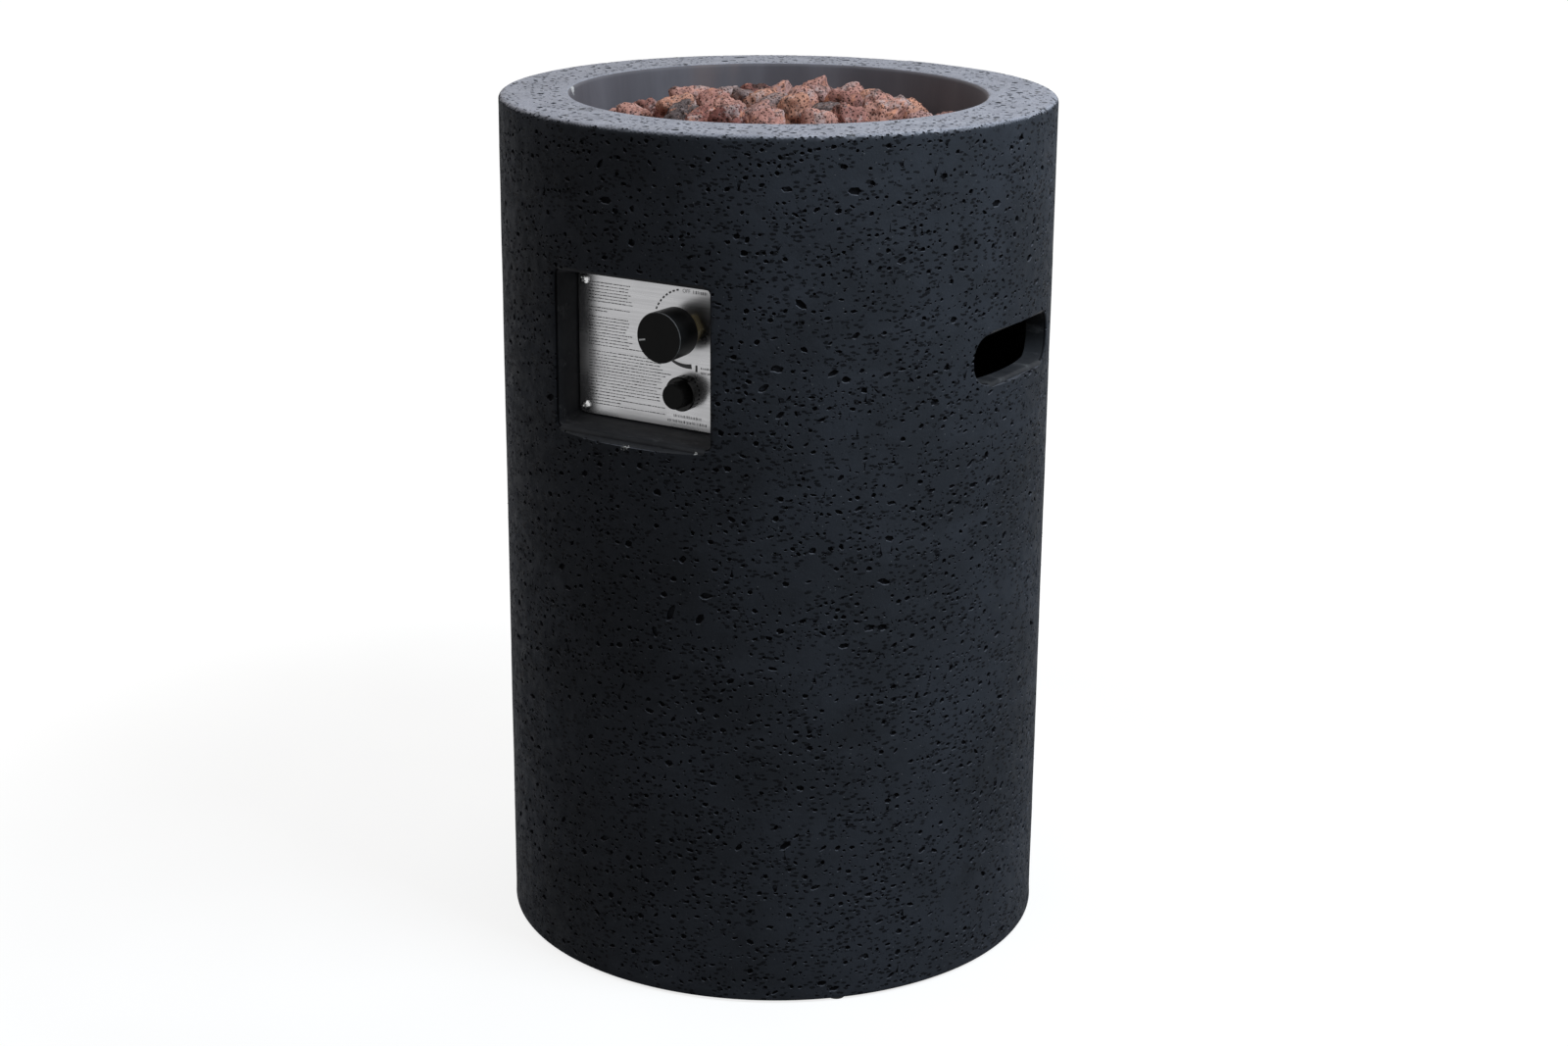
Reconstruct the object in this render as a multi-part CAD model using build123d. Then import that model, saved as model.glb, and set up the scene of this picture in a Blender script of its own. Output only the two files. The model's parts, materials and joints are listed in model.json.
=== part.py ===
from build123d import *
import math
import os
import random

# Sizes are in millimetres. The origin is the middle of the base, +Z is up and the control panel faces -Y.

# Column: one hollow concrete casting with a fire well in its top
COLUMN_DIA = 400
COLUMN_TOP = 620
COLUMN_WALL = 16
BASE_ROUND = 2
RIM_ROUND = 4
RIM_THICK = 26
WELL_MOUTH_DIA = 298
WELL_MOUTH_ROUND = 3
WELL_FLOOR_DIA = 288
WELL_DEPTH = 72
WELL_WALL = 13
LEDGE_WIDTH = 24
LEDGE_THICK = 14

# Rubber pads under the base ring
FOOT_COUNT = 4
FOOT_DIA = 12
FOOT_HEIGHT = 1.5

# Larger air holes left open in the skin of the casting
HOLE_COUNT = 170
RIM_HOLE_COUNT = 20
HOLE_SEED = 17
HOLE_LARGEST = 3.4
HOLE_DEPTH = 2.2
HOLE_EDGE_GAP = 8
HOLE_SHIFT = 12
HOLE_SLANT_ANGLE = 10
HOLE_SWING_ANGLE = 25
HOLE_CORNER_COUNT = 6
HOLE_SIZE_SHARES = (0.55, 1)
HOLE_LONG_SHARES = (1.1, 1.9)
HOLE_CORNER_SHARES = (0.72, 1)

# Hand slots in the two sides, and the notch for the hose at the back
SLOT_LENGTH = 110
SLOT_HEIGHT = 34
SLOT_ROUND = 15
SLOT_DROP = 163
NOTCH_WIDTH = 44
NOTCH_HEIGHT = 40

# Control recess, which narrows towards the plate, and the flange that carries the plate
RECESS_WIDTH = 125.3
RECESS_HEIGHT = 112.5
RECESS_ROUND = 3
RECESS_DROP = 158.25
RECESS_WALL = 12
FLANGE_THICK = 12
WINDOW_WIDTH = 92
WINDOW_HEIGHT = 80
WINDOW_ROUND = 6

# Control plate and its screws
PLATE_SETBACK = 35
PLATE_WIDTH = 120
PLATE_HEIGHT = 100
PLATE_THICK = 1.5
PLATE_ROUND = 5
PLATE_GAP = 1.2
PLATE_SCREW_INSET = 5.2
PLATE_SCREW_DIA = 3.5
PLATE_SCREW_HEAD = 7
PLATE_SCREW_DOME = 2.2
PLATE_SCREW_LENGTH = 11

# Clearances
RUNNING_GAP = 0.1
SEAT_GAP = 0.3
OVERRUN = 6

# Gas valve: places are right of and above the middle of the plate, heights are out of the plate's face
VALVE_RIGHT = 28.5
VALVE_UP = 20.5
NECK_DIA = 16
NECK_PROUD = 5
NECK_BORE = 12.4
NECK_BORE_DEPTH = 19
SHOULDER_DIA = 24
SHOULDER_THICK = 3
WAIST_DIA = 20
WAIST_LENGTH = 12
VALVE_DIA = 30
VALVE_LENGTH = 36
VALVE_ROUND = 2
PORT_DIA = 16
PORT_BORE = 8
PORT_SETBACK = 18
INLET_REACH = 26
OUTLET_REACH = 24
LOCK_NUT_ACROSS = 20
LOCK_NUT_THICK = 4

# Spindle and the plug that it turns
PUSH_TRAVEL = 5
SPINDLE_DIA = 8
SPINDLE_TIP = 27
SPINDLE_FLAT = 1.5
SPINDLE_FLAT_LENGTH = 15
SPINDLE_COLLAR_THICK = 2
RETAINER_THICK = 2
TONGUE_WIDTH = 6.8
TONGUE_THICK = 2.4
TONGUE_LENGTH = 15
SPINDLE_END_SETBACK = 0.5
PLUG_DIA = 14
PLUG_SETBACK = 7.5
PLUG_LENGTH = 22
PLUG_CHAMBER_SETBACK = 2.5
RETURN_WIRE = 1
RETURN_TURNS = 4

# Flame failure magnet on the back of the valve
MAGNET_ACROSS = 19
MAGNET_LENGTH = 20
MAGNET_TAIL_DIA = 9
MAGNET_TAIL_LENGTH = 8

# Control knob
KNOB_DIA = 35
KNOB_BACK_DIA = 34
KNOB_BASE = 12
KNOB_FACE = 34
KNOB_CHAMFER = 0.8
KNOB_WALL = 2
KNOB_FRONT = 3
KNOB_HUB_DIA = 13
KNOB_HUB_BASE = 11
KNOB_RIB_COUNT = 4
KNOB_RIB_THICK = 1.5
KNOB_RIB_SETBACK = 4
POINTER_LENGTH = 5
POINTER_WIDTH = 1.1
POINTER_DEPTH = 0.6
POINTER_ANGLE = 192

# Gas inlet elbow with its threaded stub
ELBOW_DIA = 16
ELBOW_REACH = 12
ELBOW_DROP = 10
ELBOW_HEX_ACROSS = 17
ELBOW_HEX_THICK = 6
STUB_DIA = 13.16
STUB_LENGTH = 14
STUB_BORE = 7

# Gas pipe and its union nuts
PIPE_DIA = 8
PIPE_WALL = 1
PIPE_BEND = 16
PIPE_SIDE = 38
PIPE_TURN_SETBACK = 40
PIPE_DROP = 36
PIPE_SOCKET = 4
PIPE_NUT_ACROSS = 14
PIPE_NUT_LENGTH = 10

# Injector and mixer tube under the burner
INJECTOR_ACROSS = 16
INJECTOR_LENGTH = 12
INJECTOR_NECK_DIA = 10
INJECTOR_NECK_LENGTH = 9
JET_DIA = 1.2
MIXER_DIA = 20
MIXER_WALL = 1.4
MIXER_END = 3
MIXER_LENGTH = 78
MIXER_SOCKET = 7
AIR_WINDOW_WIDTH = 9
AIR_WINDOW_HEIGHT = 16
AIR_WINDOW_RISE = 9

# Burner: ring, two arms and a flanged hub, welded and hollow
BURNER_TUBE = 14
BURNER_TUBE_STEP = 2
BURNER_TUBE_ROUND = 5
BURNER_TUBE_WALL = 1.2
BURNER_THROAT_DIA = 9
BURNER_RISE = 15.5
BURNER_HUB_DIA = 30
BURNER_FLANGE_DIA = 54
BURNER_FLANGE_THICK = 3
BURNER_PORT_COUNT = 24
BURNER_PORT_DIA = 3
BURNER_SCREW_COUNT = 3
BURNER_SCREW_DIA = 4
BURNER_SCREW_HEAD = 7
BURNER_SCREW_HEAD_THICK = 3
BURNER_SCREW_LENGTH = 12
BURNER_NUT_ACROSS = 7
BURNER_NUT_THICK = 3.2

# Burner pan on the ledge of the well
PAN_GAP = 3
PAN_THICK = 1.5
PAN_LIP = 10
PAN_SCREW_COUNT = 4
PAN_SCREW_DIA = 4
PAN_SCREW_HEAD = 7
PAN_SCREW_LENGTH = 12

# Pilot group in front of the ring: bracket, guard, spark electrode and thermocouple
PILOT_GAP = 4
PROBE_LEDGE_GAP = 18.5
GUARD_WIDTH = 40
GUARD_DEPTH = 24
GUARD_THICK = 1.2
GUARD_DROP = 1
GUARD_SLOT_COUNT = 3
GUARD_SLOT_WIDTH = 5
GUARD_SLOT_LENGTH = 14
BRACKET_WIDTH = 32
BRACKET_DEPTH = 18
BRACKET_THICK = 1.5
BRACKET_LIP = 11
PROBE_SPREAD = 18
INSULATOR_DIA = 7
INSULATOR_COLLAR_DIA = 10
INSULATOR_ABOVE = 11
INSULATOR_BELOW = 26
PROBE_COLLAR_THICK = 3
ROD_DIA = 2.4
ROD_ABOVE = 15
ROD_BELOW = 32
ROD_BEND = 4
SPARK_GAP = 4.5
SENSOR_DIA = 4.8
SENSOR_COLLAR_DIA = 8
SENSOR_ABOVE = 16
SENSOR_BELOW = 18

# Leads between the pilot group and the panel
SENSOR_LEAD_DIA = 2.5
SENSOR_LEAD_BEND = 11
SENSOR_LEAD_DROP = 25
SENSOR_LEAD_TURN = 28
SENSOR_LEAD_LOW = 8
SPARK_LEAD_DIA = 3
SPARK_LEAD_BEND = 10
SPARK_LEAD_EXIT = 26
SPARK_LEAD_SIDE = 28
SPARK_LEAD_FIRST_RISE = 20
SPARK_LEAD_SETBACK = 6
SPARK_LEAD_RISE = 52
SPARK_LEAD_DROP = 16

# Spark igniter: battery tube, ring nut, fluted collar and button
IGNITER_RIGHT = 28.7
IGNITER_UP = -23.75
IGNITER_NECK_DIA = 21.2
IGNITER_NECK_WALL = 0.7
IGNITER_NECK_PROUD = 6.5
IGNITER_NECK_DEPTH = 12.5
IGNITER_SHOULDER_DIA = 27
IGNITER_SHOULDER_THICK = 3
IGNITER_TUBE_DIA = 22
IGNITER_TUBE_LENGTH = 60
IGNITER_END = 4
IGNITER_NUT_DIA = 24
IGNITER_NUT_THICK = 2
COLLAR_DIA = 24
COLLAR_FACE = 9
COLLAR_LIP = 1.5
COLLAR_EDGE = 0.8
FLUTE_COUNT = 24
FLUTE_DIA = 1.6
FLUTE_DEPTH = 0.5
BUTTON_DIA = 17.6
BUTTON_FACE = 17.5
BUTTON_FRONT = 2.5
BUTTON_WALL = 1.6
BUTTON_EDGE = 0.8
BUTTON_FLANGE_DIA = 19.2
BUTTON_FLANGE_THICK = 1.5
BATTERY_DIA = 14.5
BATTERY_LENGTH = 49
BATTERY_NUB_DIA = 5.5
BATTERY_NUB = 1.5
BUTTON_WIRE = 0.9
BUTTON_COIL_DIA = 10
BUTTON_TURNS = 7
TERMINAL_WIDTH = 4.8
TERMINAL_THICK = 0.8
TERMINAL_LENGTH = 8

# Lava stones: cells of a loose packing, with a gap between neighbours
STONE_PITCH = 30
BASE_STONE_PITCH = 45
STONE_GAP = 0.4
STONE_SEED = 11
HEAP_WALL_DROP = 22
HEAP_PEAK_RISE = 4
HEAP_SWING = 7
HEAP_TWO_DEEP = 40
STONE_REACH_SHARE = 0.8
STONE_SHIFT_SHARE = 0.2
STONE_WEIGHT_SHARE = 0.3
STONE_CUT_SHARES = (0.4, 0.52)
STONE_CUT_COUNT = 7
STONE_TILT_SHARE = 0.45
LOW_LAYER_SHARE = 0.25
HIGH_LAYER_SHARE = 0.74
SINGLE_LAYER_SHARE = 0.5

# Levels and planes that several pieces share
COLUMN_RADIUS = COLUMN_DIA / 2
SLOT_Z = COLUMN_TOP - SLOT_DROP
RECESS_Z = COLUMN_TOP - RECESS_DROP
LEDGE_Z = COLUMN_TOP - WELL_DEPTH
WELL_CLEAR_RADIUS = min(WELL_MOUTH_DIA, WELL_FLOOR_DIA) / 2
WELL_BACK_RADIUS = max(WELL_MOUTH_DIA, WELL_FLOOR_DIA) / 2 + WELL_WALL
LEDGE_RADIUS = WELL_CLEAR_RADIUS - LEDGE_WIDTH
LEDGE_SCREW_RADIUS = LEDGE_RADIUS + LEDGE_WIDTH / 2
PAN_DIA = 2 * (WELL_CLEAR_RADIUS - PAN_GAP)
PROBE_RADIUS = LEDGE_RADIUS - PROBE_LEDGE_GAP - INSULATOR_DIA / 2
PROBE_Y = -PROBE_RADIUS
GUARD_INNER = PROBE_RADIUS - GUARD_DEPTH / 2
BURNER_RING_DIA = 2 * (GUARD_INNER - PILOT_GAP) - BURNER_TUBE
PAN_Z = LEDGE_Z + PAN_THICK
BURNER_Z = PAN_Z + BURNER_RISE
BURNER_TOP_Z = BURNER_Z + BURNER_TUBE / 2
BRACKET_TOP_Z = PAN_Z + BRACKET_THICK
BURNER_SCREW_RADIUS = (BURNER_HUB_DIA + BURNER_FLANGE_DIA) / 4
MIXER_TOP_Z = PAN_Z + MIXER_SOCKET
MIXER_Z = MIXER_TOP_Z - MIXER_LENGTH
INJECTOR_Z = MIXER_Z - INJECTOR_LENGTH
PANEL = Plane((0, PLATE_SETBACK - COLUMN_RADIUS, RECESS_Z), x_dir=(1, 0, 0), z_dir=(0, -1, 0))
VALVE = PANEL * Pos(VALVE_RIGHT, VALVE_UP, 0)
IGNITER = PANEL * Pos(IGNITER_RIGHT, IGNITER_UP, 0)
PLATE_SCREWS = [
    (x * (PLATE_WIDTH / 2 - PLATE_SCREW_INSET), y * (PLATE_HEIGHT / 2 - PLATE_SCREW_INSET))
    for x in (-1, 1)
    for y in (-1, 1)
]

# Heights along the valve's axis, out of the plate's face
VALVE_FRONT = -PLATE_THICK - SHOULDER_THICK - WAIST_LENGTH
VALVE_BACK = VALVE_FRONT - VALVE_LENGTH
PORT_HEIGHT = VALVE_FRONT - PORT_SETBACK
NECK_BORE_END = NECK_PROUD - NECK_BORE_DEPTH
SPINDLE_COLLAR_TOP = NECK_PROUD - RETAINER_THICK - SEAT_GAP
SPINDLE_END = VALVE_FRONT - SPINDLE_END_SETBACK
PLUG_TOP = VALVE_FRONT - PLUG_SETBACK
PLUG_END = PLUG_TOP - PLUG_LENGTH
MAGNET_END = VALVE_BACK - MAGNET_LENGTH - MAGNET_TAIL_LENGTH

# Heights along the igniter's axis, out of the plate's face
IGNITER_TUBE_TOP = -PLATE_THICK - IGNITER_SHOULDER_THICK
IGNITER_TUBE_END = IGNITER_TUBE_TOP - IGNITER_TUBE_LENGTH
BATTERY_END = IGNITER_TUBE_END + IGNITER_END + SEAT_GAP
BATTERY_TOP = BATTERY_END + BATTERY_LENGTH
BUTTON_FLANGE_TOP = COLLAR_FACE - COLLAR_LIP - RUNNING_GAP


def turned(*corners):
    """Solid turned about Z from (radius, height) corners."""
    return revolve(Plane.XZ * make_face(Polyline(*corners, close=True)), Axis.Z)


def round_bar(dia, start, end):
    """Round bar along Z between two heights."""
    return turned((0, start), (dia / 2, start), (dia / 2, end), (0, end))


def ring(outer_dia, inner_dia, start, end):
    """Straight tube along Z between two heights."""
    inner, outer = inner_dia / 2, outer_dia / 2
    return turned((inner, start), (outer, start), (outer, end), (inner, end))


def hexagon(across, start, end):
    """Hexagonal bar along Z, by its size across flats."""
    return Pos(0, 0, start) * extrude(RegularPolygon(across / 2, 6, major_radius=False), end - start)


def plate(width, height, corner, start, end):
    """Flat plate in XY with round corners, between two heights."""
    return Pos(0, 0, start) * extrude(RectangleRounded(width, height, corner), end - start)


def swept(points, dia, bend):
    """Round bar along straight runs joined by arcs."""
    path = FilletPolyline(*points, radius=bend)
    return sweep(Plane(path @ 0, z_dir=path % 0) * Circle(dia / 2), path=path)


def coil(dia, wire, turns, start, end):
    """Compression spring along Z whose wire stays between two heights, and its least gap between turns."""
    pitch = (end - start - wire) / turns
    quarters = range(4 * turns + 1)
    spots = [
        Vector(dia / 2, 0, start + wire / 2 + pitch * n / 4).rotate(Axis.Z, 90 * n) for n in quarters
    ]
    ways = [Vector(0, math.pi * dia, pitch).rotate(Axis.Z, 90 * n).normalized() for n in quarters]
    arcs = []
    for a, b, way_a, way_b in zip(spots, spots[1:], ways, ways[1:]):
        chord = b - a
        both = way_a + way_b
        bow = 2 * (1 - way_a.dot(way_b))
        reach = (math.sqrt(chord.dot(both) ** 2 + bow * chord.dot(chord)) - chord.dot(both)) / bow
        near, far = a + way_a * reach, b - way_b * reach
        middle = (near + far) / 2
        arcs += [TangentArc(a, middle, tangent=way_a), TangentArc(middle, b, tangent=far - near)]
    path = Wire(arcs)
    print("coil", round(pitch - wire, 2), "mm between turns")
    return sweep(Plane(spots[0], z_dir=ways[0]) * Circle(wire / 2), path=path)


def spaced(count, radius, start=0):
    """Places evenly round Z."""
    return [Rot(0, 0, start + 360 * n / count) * Pos(radius, 0, 0) for n in range(count)]


def group(shapes):
    """Separate solids of one node."""
    return Compound(children=[solid for shape in shapes for solid in shape.solids()])


# Column


def column_profile():
    """Half section of the casting: outer wall, rim, well wall and ledge."""
    inner = COLUMN_RADIUS - COLUMN_WALL
    corners = [
        (COLUMN_RADIUS, FOOT_HEIGHT, BASE_ROUND),
        (COLUMN_RADIUS, COLUMN_TOP, RIM_ROUND),
        (WELL_MOUTH_DIA / 2, COLUMN_TOP, WELL_MOUTH_ROUND),
        (WELL_FLOOR_DIA / 2, LEDGE_Z, 0),
        (LEDGE_RADIUS, LEDGE_Z, 0),
        (LEDGE_RADIUS, LEDGE_Z - LEDGE_THICK, 0),
        (WELL_BACK_RADIUS, LEDGE_Z - LEDGE_THICK, 0),
        (WELL_BACK_RADIUS, COLUMN_TOP - RIM_THICK, 0),
        (inner, COLUMN_TOP - RIM_THICK, 0),
        (inner, FOOT_HEIGHT, 0),
    ]
    line = FilletPolyline([corner[:2] for corner in corners], radius=[c[2] for c in corners], close=True)
    return Plane.XZ * make_face(line)


def recess():
    """Space of the control recess, from in front of the column to the back of the plate."""
    slope_x = (RECESS_WIDTH / 2 - PLATE_WIDTH / 2 - PLATE_GAP) / PLATE_SETBACK
    slope_y = (RECESS_HEIGHT / 2 - PLATE_HEIGHT / 2 - PLATE_GAP) / PLATE_SETBACK
    faces = []
    for height in (-PLATE_THICK, PLATE_SETBACK + OVERRUN):
        width = PLATE_WIDTH + 2 * (PLATE_GAP + slope_x * height)
        tall = PLATE_HEIGHT + 2 * (PLATE_GAP + slope_y * height)
        faces.append(Pos(0, 0, height) * RectangleRounded(width, tall, RECESS_ROUND))
    return PANEL * loft(faces)


def on_plain_wall(x, y, z):
    """Whether an air hole there stays clear of the recess, the slots and the notch."""
    gap = HOLE_EDGE_GAP
    at_recess = y < 0 and abs(x) < RECESS_WIDTH / 2 + gap and abs(z - RECESS_Z) < RECESS_HEIGHT / 2 + gap
    at_slot = abs(y) < SLOT_LENGTH / 2 + gap and abs(z - SLOT_Z) < SLOT_HEIGHT / 2 + gap
    at_notch = y > 0 and abs(x) < NOTCH_WIDTH / 2 + gap and z < FOOT_HEIGHT + NOTCH_HEIGHT + gap
    return not (at_recess or at_slot or at_notch)


def air_hole(chance):
    """Irregular pit below the plane z = 0, narrowing to its deepest point."""
    size = chance.uniform(*HOLE_SIZE_SHARES)
    long = chance.uniform(*HOLE_LONG_SHARES)
    turn = Rot(0, 0, chance.gauss(HOLE_SLANT_ANGLE, HOLE_SWING_ANGLE))
    tip = Vector(0, 0, -HOLE_DEPTH * size)
    corners = []
    for n in range(HOLE_CORNER_COUNT):
        angle = 2 * math.pi * n / HOLE_CORNER_COUNT
        reach = HOLE_LARGEST * size * chance.uniform(*HOLE_CORNER_SHARES)
        corner = Vector(reach * long * math.cos(angle), reach * math.sin(angle), 0)
        corners.append(corner + (corner - tip) / 2)
    sides = [(corners[n - 1], corners[n], tip) for n in range(HOLE_CORNER_COUNT)]
    return turn * stone_solid(sides + [corners[::-1]])


def air_holes():
    """Larger air holes, spread over the wall and the rim."""
    chance = random.Random(HOLE_SEED)
    golden = math.pi * (3 - math.sqrt(5))
    low, high = FOOT_HEIGHT + BASE_ROUND + HOLE_EDGE_GAP, COLUMN_TOP - RIM_ROUND - HOLE_EDGE_GAP
    inside = WELL_MOUTH_DIA / 2 + WELL_MOUTH_ROUND + HOLE_EDGE_GAP
    outside = COLUMN_RADIUS - RIM_ROUND - HOLE_EDGE_GAP
    holes = []
    for n in range(HOLE_COUNT + RIM_HOLE_COUNT):
        angle = n * golden + chance.uniform(-HOLE_SHIFT, HOLE_SHIFT) / COLUMN_RADIUS
        away = Vector(math.cos(angle), math.sin(angle), 0)
        hole = air_hole(chance)
        if n < HOLE_COUNT:
            place = away * COLUMN_RADIUS + Vector(0, 0, low + (high - low) * (n + chance.random()) / HOLE_COUNT)
            if on_plain_wall(*place):
                holes.append(Plane(place, x_dir=(-away.Y, away.X, 0), z_dir=away) * hole)
        else:
            place = away * chance.uniform(inside, outside) + Vector(0, 0, COLUMN_TOP)
            holes.append(Plane(place, x_dir=(-away.Y, away.X, 0), z_dir=(0, 0, 1)) * hole)
    return holes


def column_shell():
    shell = revolve(column_profile(), Axis.Z)
    back = -PLATE_THICK - FLANGE_THICK
    pocket = PANEL * plate(
        RECESS_WIDTH + 2 * RECESS_WALL, RECESS_HEIGHT + 2 * RECESS_WALL, RECESS_WALL, back, PLATE_SETBACK
    )
    shell += pocket & round_bar(COLUMN_DIA - COLUMN_WALL, 0, COLUMN_TOP)
    shell -= recess()
    shell -= PANEL * plate(WINDOW_WIDTH, WINDOW_HEIGHT, WINDOW_ROUND, back - OVERRUN, 0)
    hole = round_bar(PLATE_SCREW_DIA + 2 * RUNNING_GAP, back, 0)
    shell -= [PANEL * Pos(x, y, 0) * hole for x, y in PLATE_SCREWS]
    ledge_hole = round_bar(PAN_SCREW_DIA + 2 * RUNNING_GAP, LEDGE_Z - LEDGE_THICK - OVERRUN, LEDGE_Z)
    shell -= [spot * ledge_hole for spot in spaced(PAN_SCREW_COUNT, LEDGE_SCREW_RADIUS, 45)]
    slot = Plane.YZ * Pos(0, SLOT_Z, 0) * extrude(
        RectangleRounded(SLOT_LENGTH, SLOT_HEIGHT, SLOT_ROUND), COLUMN_DIA + 2 * OVERRUN, both=True
    )
    inside = round_bar(COLUMN_DIA - 2 * COLUMN_WALL - 2 * OVERRUN, 0, COLUMN_TOP)
    shell -= slot - inside
    arch = Rectangle(NOTCH_WIDTH, 2 * (NOTCH_HEIGHT - NOTCH_WIDTH / 2)) + Pos(
        0, NOTCH_HEIGHT - NOTCH_WIDTH / 2
    ) * Circle(NOTCH_WIDTH / 2)
    behind = Plane((0, COLUMN_RADIUS, FOOT_HEIGHT), x_dir=(1, 0, 0), z_dir=(0, -1, 0))
    shell -= behind * extrude(arch, 2 * COLUMN_WALL, both=True)
    return shell - air_holes()


def foot_pads():
    pad = round_bar(FOOT_DIA, 0, FOOT_HEIGHT)
    return group(spot * pad for spot in spaced(FOOT_COUNT, COLUMN_RADIUS - COLUMN_WALL / 2, 45))


# Control panel


def control_plate():
    sheet = plate(PLATE_WIDTH, PLATE_HEIGHT, PLATE_ROUND, -PLATE_THICK, 0)
    neck = round_bar(NECK_DIA + 2 * SEAT_GAP, -OVERRUN, OVERRUN)
    tube = round_bar(IGNITER_NECK_DIA + 2 * SEAT_GAP, -OVERRUN, OVERRUN)
    screw = round_bar(PLATE_SCREW_DIA + 2 * SEAT_GAP, -OVERRUN, OVERRUN)
    sheet -= Pos(VALVE_RIGHT, VALVE_UP, 0) * neck
    sheet -= Pos(IGNITER_RIGHT, IGNITER_UP, 0) * tube
    sheet -= [Pos(x, y, 0) * screw for x, y in PLATE_SCREWS]
    return PANEL * sheet


def plate_screws():
    head, dome = PLATE_SCREW_HEAD / 2, PLATE_SCREW_DOME
    side = dome / 3
    shank, tip = PLATE_SCREW_DIA / 2, -PLATE_SCREW_LENGTH
    outline = Polyline((0, dome), (0, tip), (shank, tip), (shank, 0), (head, 0), (head, side))
    outline += TangentArc((0, dome), (head, side), tangent=(1, 0))
    screw = revolve(Plane.XZ * make_face(outline), Axis.Z)
    return group(PANEL * Pos(x, y, 0) * screw for x, y in PLATE_SCREWS)


# Gas valve


def valve_body():
    neck, waist = NECK_DIA / 2, WAIST_DIA / 2
    shoulder, body = SHOULDER_DIA / 2, VALVE_DIA / 2
    under = -PLATE_THICK - SHOULDER_THICK
    valve = turned(
        (0, NECK_PROUD),
        (neck, NECK_PROUD),
        (neck, -PLATE_THICK),
        (shoulder, -PLATE_THICK),
        (shoulder, under),
        (waist, under),
        (waist, VALVE_FRONT),
        (body - VALVE_ROUND, VALVE_FRONT),
        (body, VALVE_FRONT - VALVE_ROUND),
        (body, VALVE_BACK + VALVE_ROUND),
        (body - VALVE_ROUND, VALVE_BACK),
        (0, VALVE_BACK),
    )
    side = Pos(0, 0, PORT_HEIGHT) * Rot(0, 90, 0)
    valve += side * round_bar(PORT_DIA, -OUTLET_REACH, INLET_REACH)
    valve -= side * round_bar(PORT_BORE, -OUTLET_REACH - OVERRUN, INLET_REACH + OVERRUN)
    valve -= round_bar(NECK_BORE, NECK_BORE_END, NECK_PROUD + OVERRUN)
    valve -= round_bar(SPINDLE_DIA + 2 * RUNNING_GAP, VALVE_BACK, NECK_PROUD)
    chamber_top = VALVE_FRONT - PLUG_CHAMBER_SETBACK
    valve -= round_bar(PLUG_DIA + 2 * RUNNING_GAP, VALVE_BACK - OVERRUN, chamber_top)
    return VALVE * valve


def valve_lock_nut():
    nut = hexagon(LOCK_NUT_ACROSS, 0, LOCK_NUT_THICK)
    return VALVE * (nut - round_bar(NECK_DIA + 2 * RUNNING_GAP, 0, LOCK_NUT_THICK))


def spindle_retainer():
    return VALVE * ring(NECK_BORE, SPINDLE_DIA + 2 * RUNNING_GAP, NECK_PROUD - RETAINER_THICK, NECK_PROUD)


def valve_spindle():
    collar = NECK_BORE / 2 - SEAT_GAP
    radius = SPINDLE_DIA / 2
    collar_end = SPINDLE_COLLAR_TOP - SPINDLE_COLLAR_THICK
    spindle = turned(
        (0, SPINDLE_TIP),
        (radius, SPINDLE_TIP),
        (radius, SPINDLE_COLLAR_TOP),
        (collar, SPINDLE_COLLAR_TOP),
        (collar, collar_end),
        (radius, collar_end),
        (radius, SPINDLE_END),
        (0, SPINDLE_END),
    )
    flat = Box(SPINDLE_DIA, SPINDLE_FLAT, SPINDLE_FLAT_LENGTH, align=(Align.CENTER, Align.MAX, Align.MAX))
    spindle -= Pos(0, radius, SPINDLE_TIP) * flat
    tongue = Box(TONGUE_WIDTH, TONGUE_THICK, TONGUE_LENGTH, align=(Align.CENTER, Align.CENTER, Align.MAX))
    return VALVE * (spindle + Pos(0, 0, SPINDLE_END) * tongue)


def knob_return_spring():
    start = NECK_BORE_END + SEAT_GAP
    end = SPINDLE_COLLAR_TOP - SPINDLE_COLLAR_THICK - SEAT_GAP
    dia = (NECK_BORE + SPINDLE_DIA) / 2
    return VALVE * coil(dia, RETURN_WIRE, RETURN_TURNS, start, end)


def valve_plug():
    plug = round_bar(PLUG_DIA, PLUG_END, PLUG_TOP)
    plug -= Pos(0, 0, PORT_HEIGHT) * Rot(0, 90, 0) * round_bar(PORT_BORE, -PLUG_DIA, PLUG_DIA)
    reach = PLUG_TOP - (SPINDLE_END - TONGUE_LENGTH - PUSH_TRAVEL - SEAT_GAP)
    slot = Box(
        TONGUE_WIDTH + 2 * RUNNING_GAP,
        TONGUE_THICK + 2 * RUNNING_GAP,
        reach,
        align=(Align.CENTER, Align.CENTER, Align.MAX),
    )
    return VALVE * (plug - Pos(0, 0, PLUG_TOP) * slot)


def safety_magnet():
    can = hexagon(MAGNET_ACROSS, VALVE_BACK - MAGNET_LENGTH, VALVE_BACK)
    can += round_bar(PLUG_DIA, VALVE_BACK, PLUG_END - SEAT_GAP)
    can += round_bar(MAGNET_TAIL_DIA, MAGNET_END, VALVE_BACK - MAGNET_LENGTH)
    return VALVE * can


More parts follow.
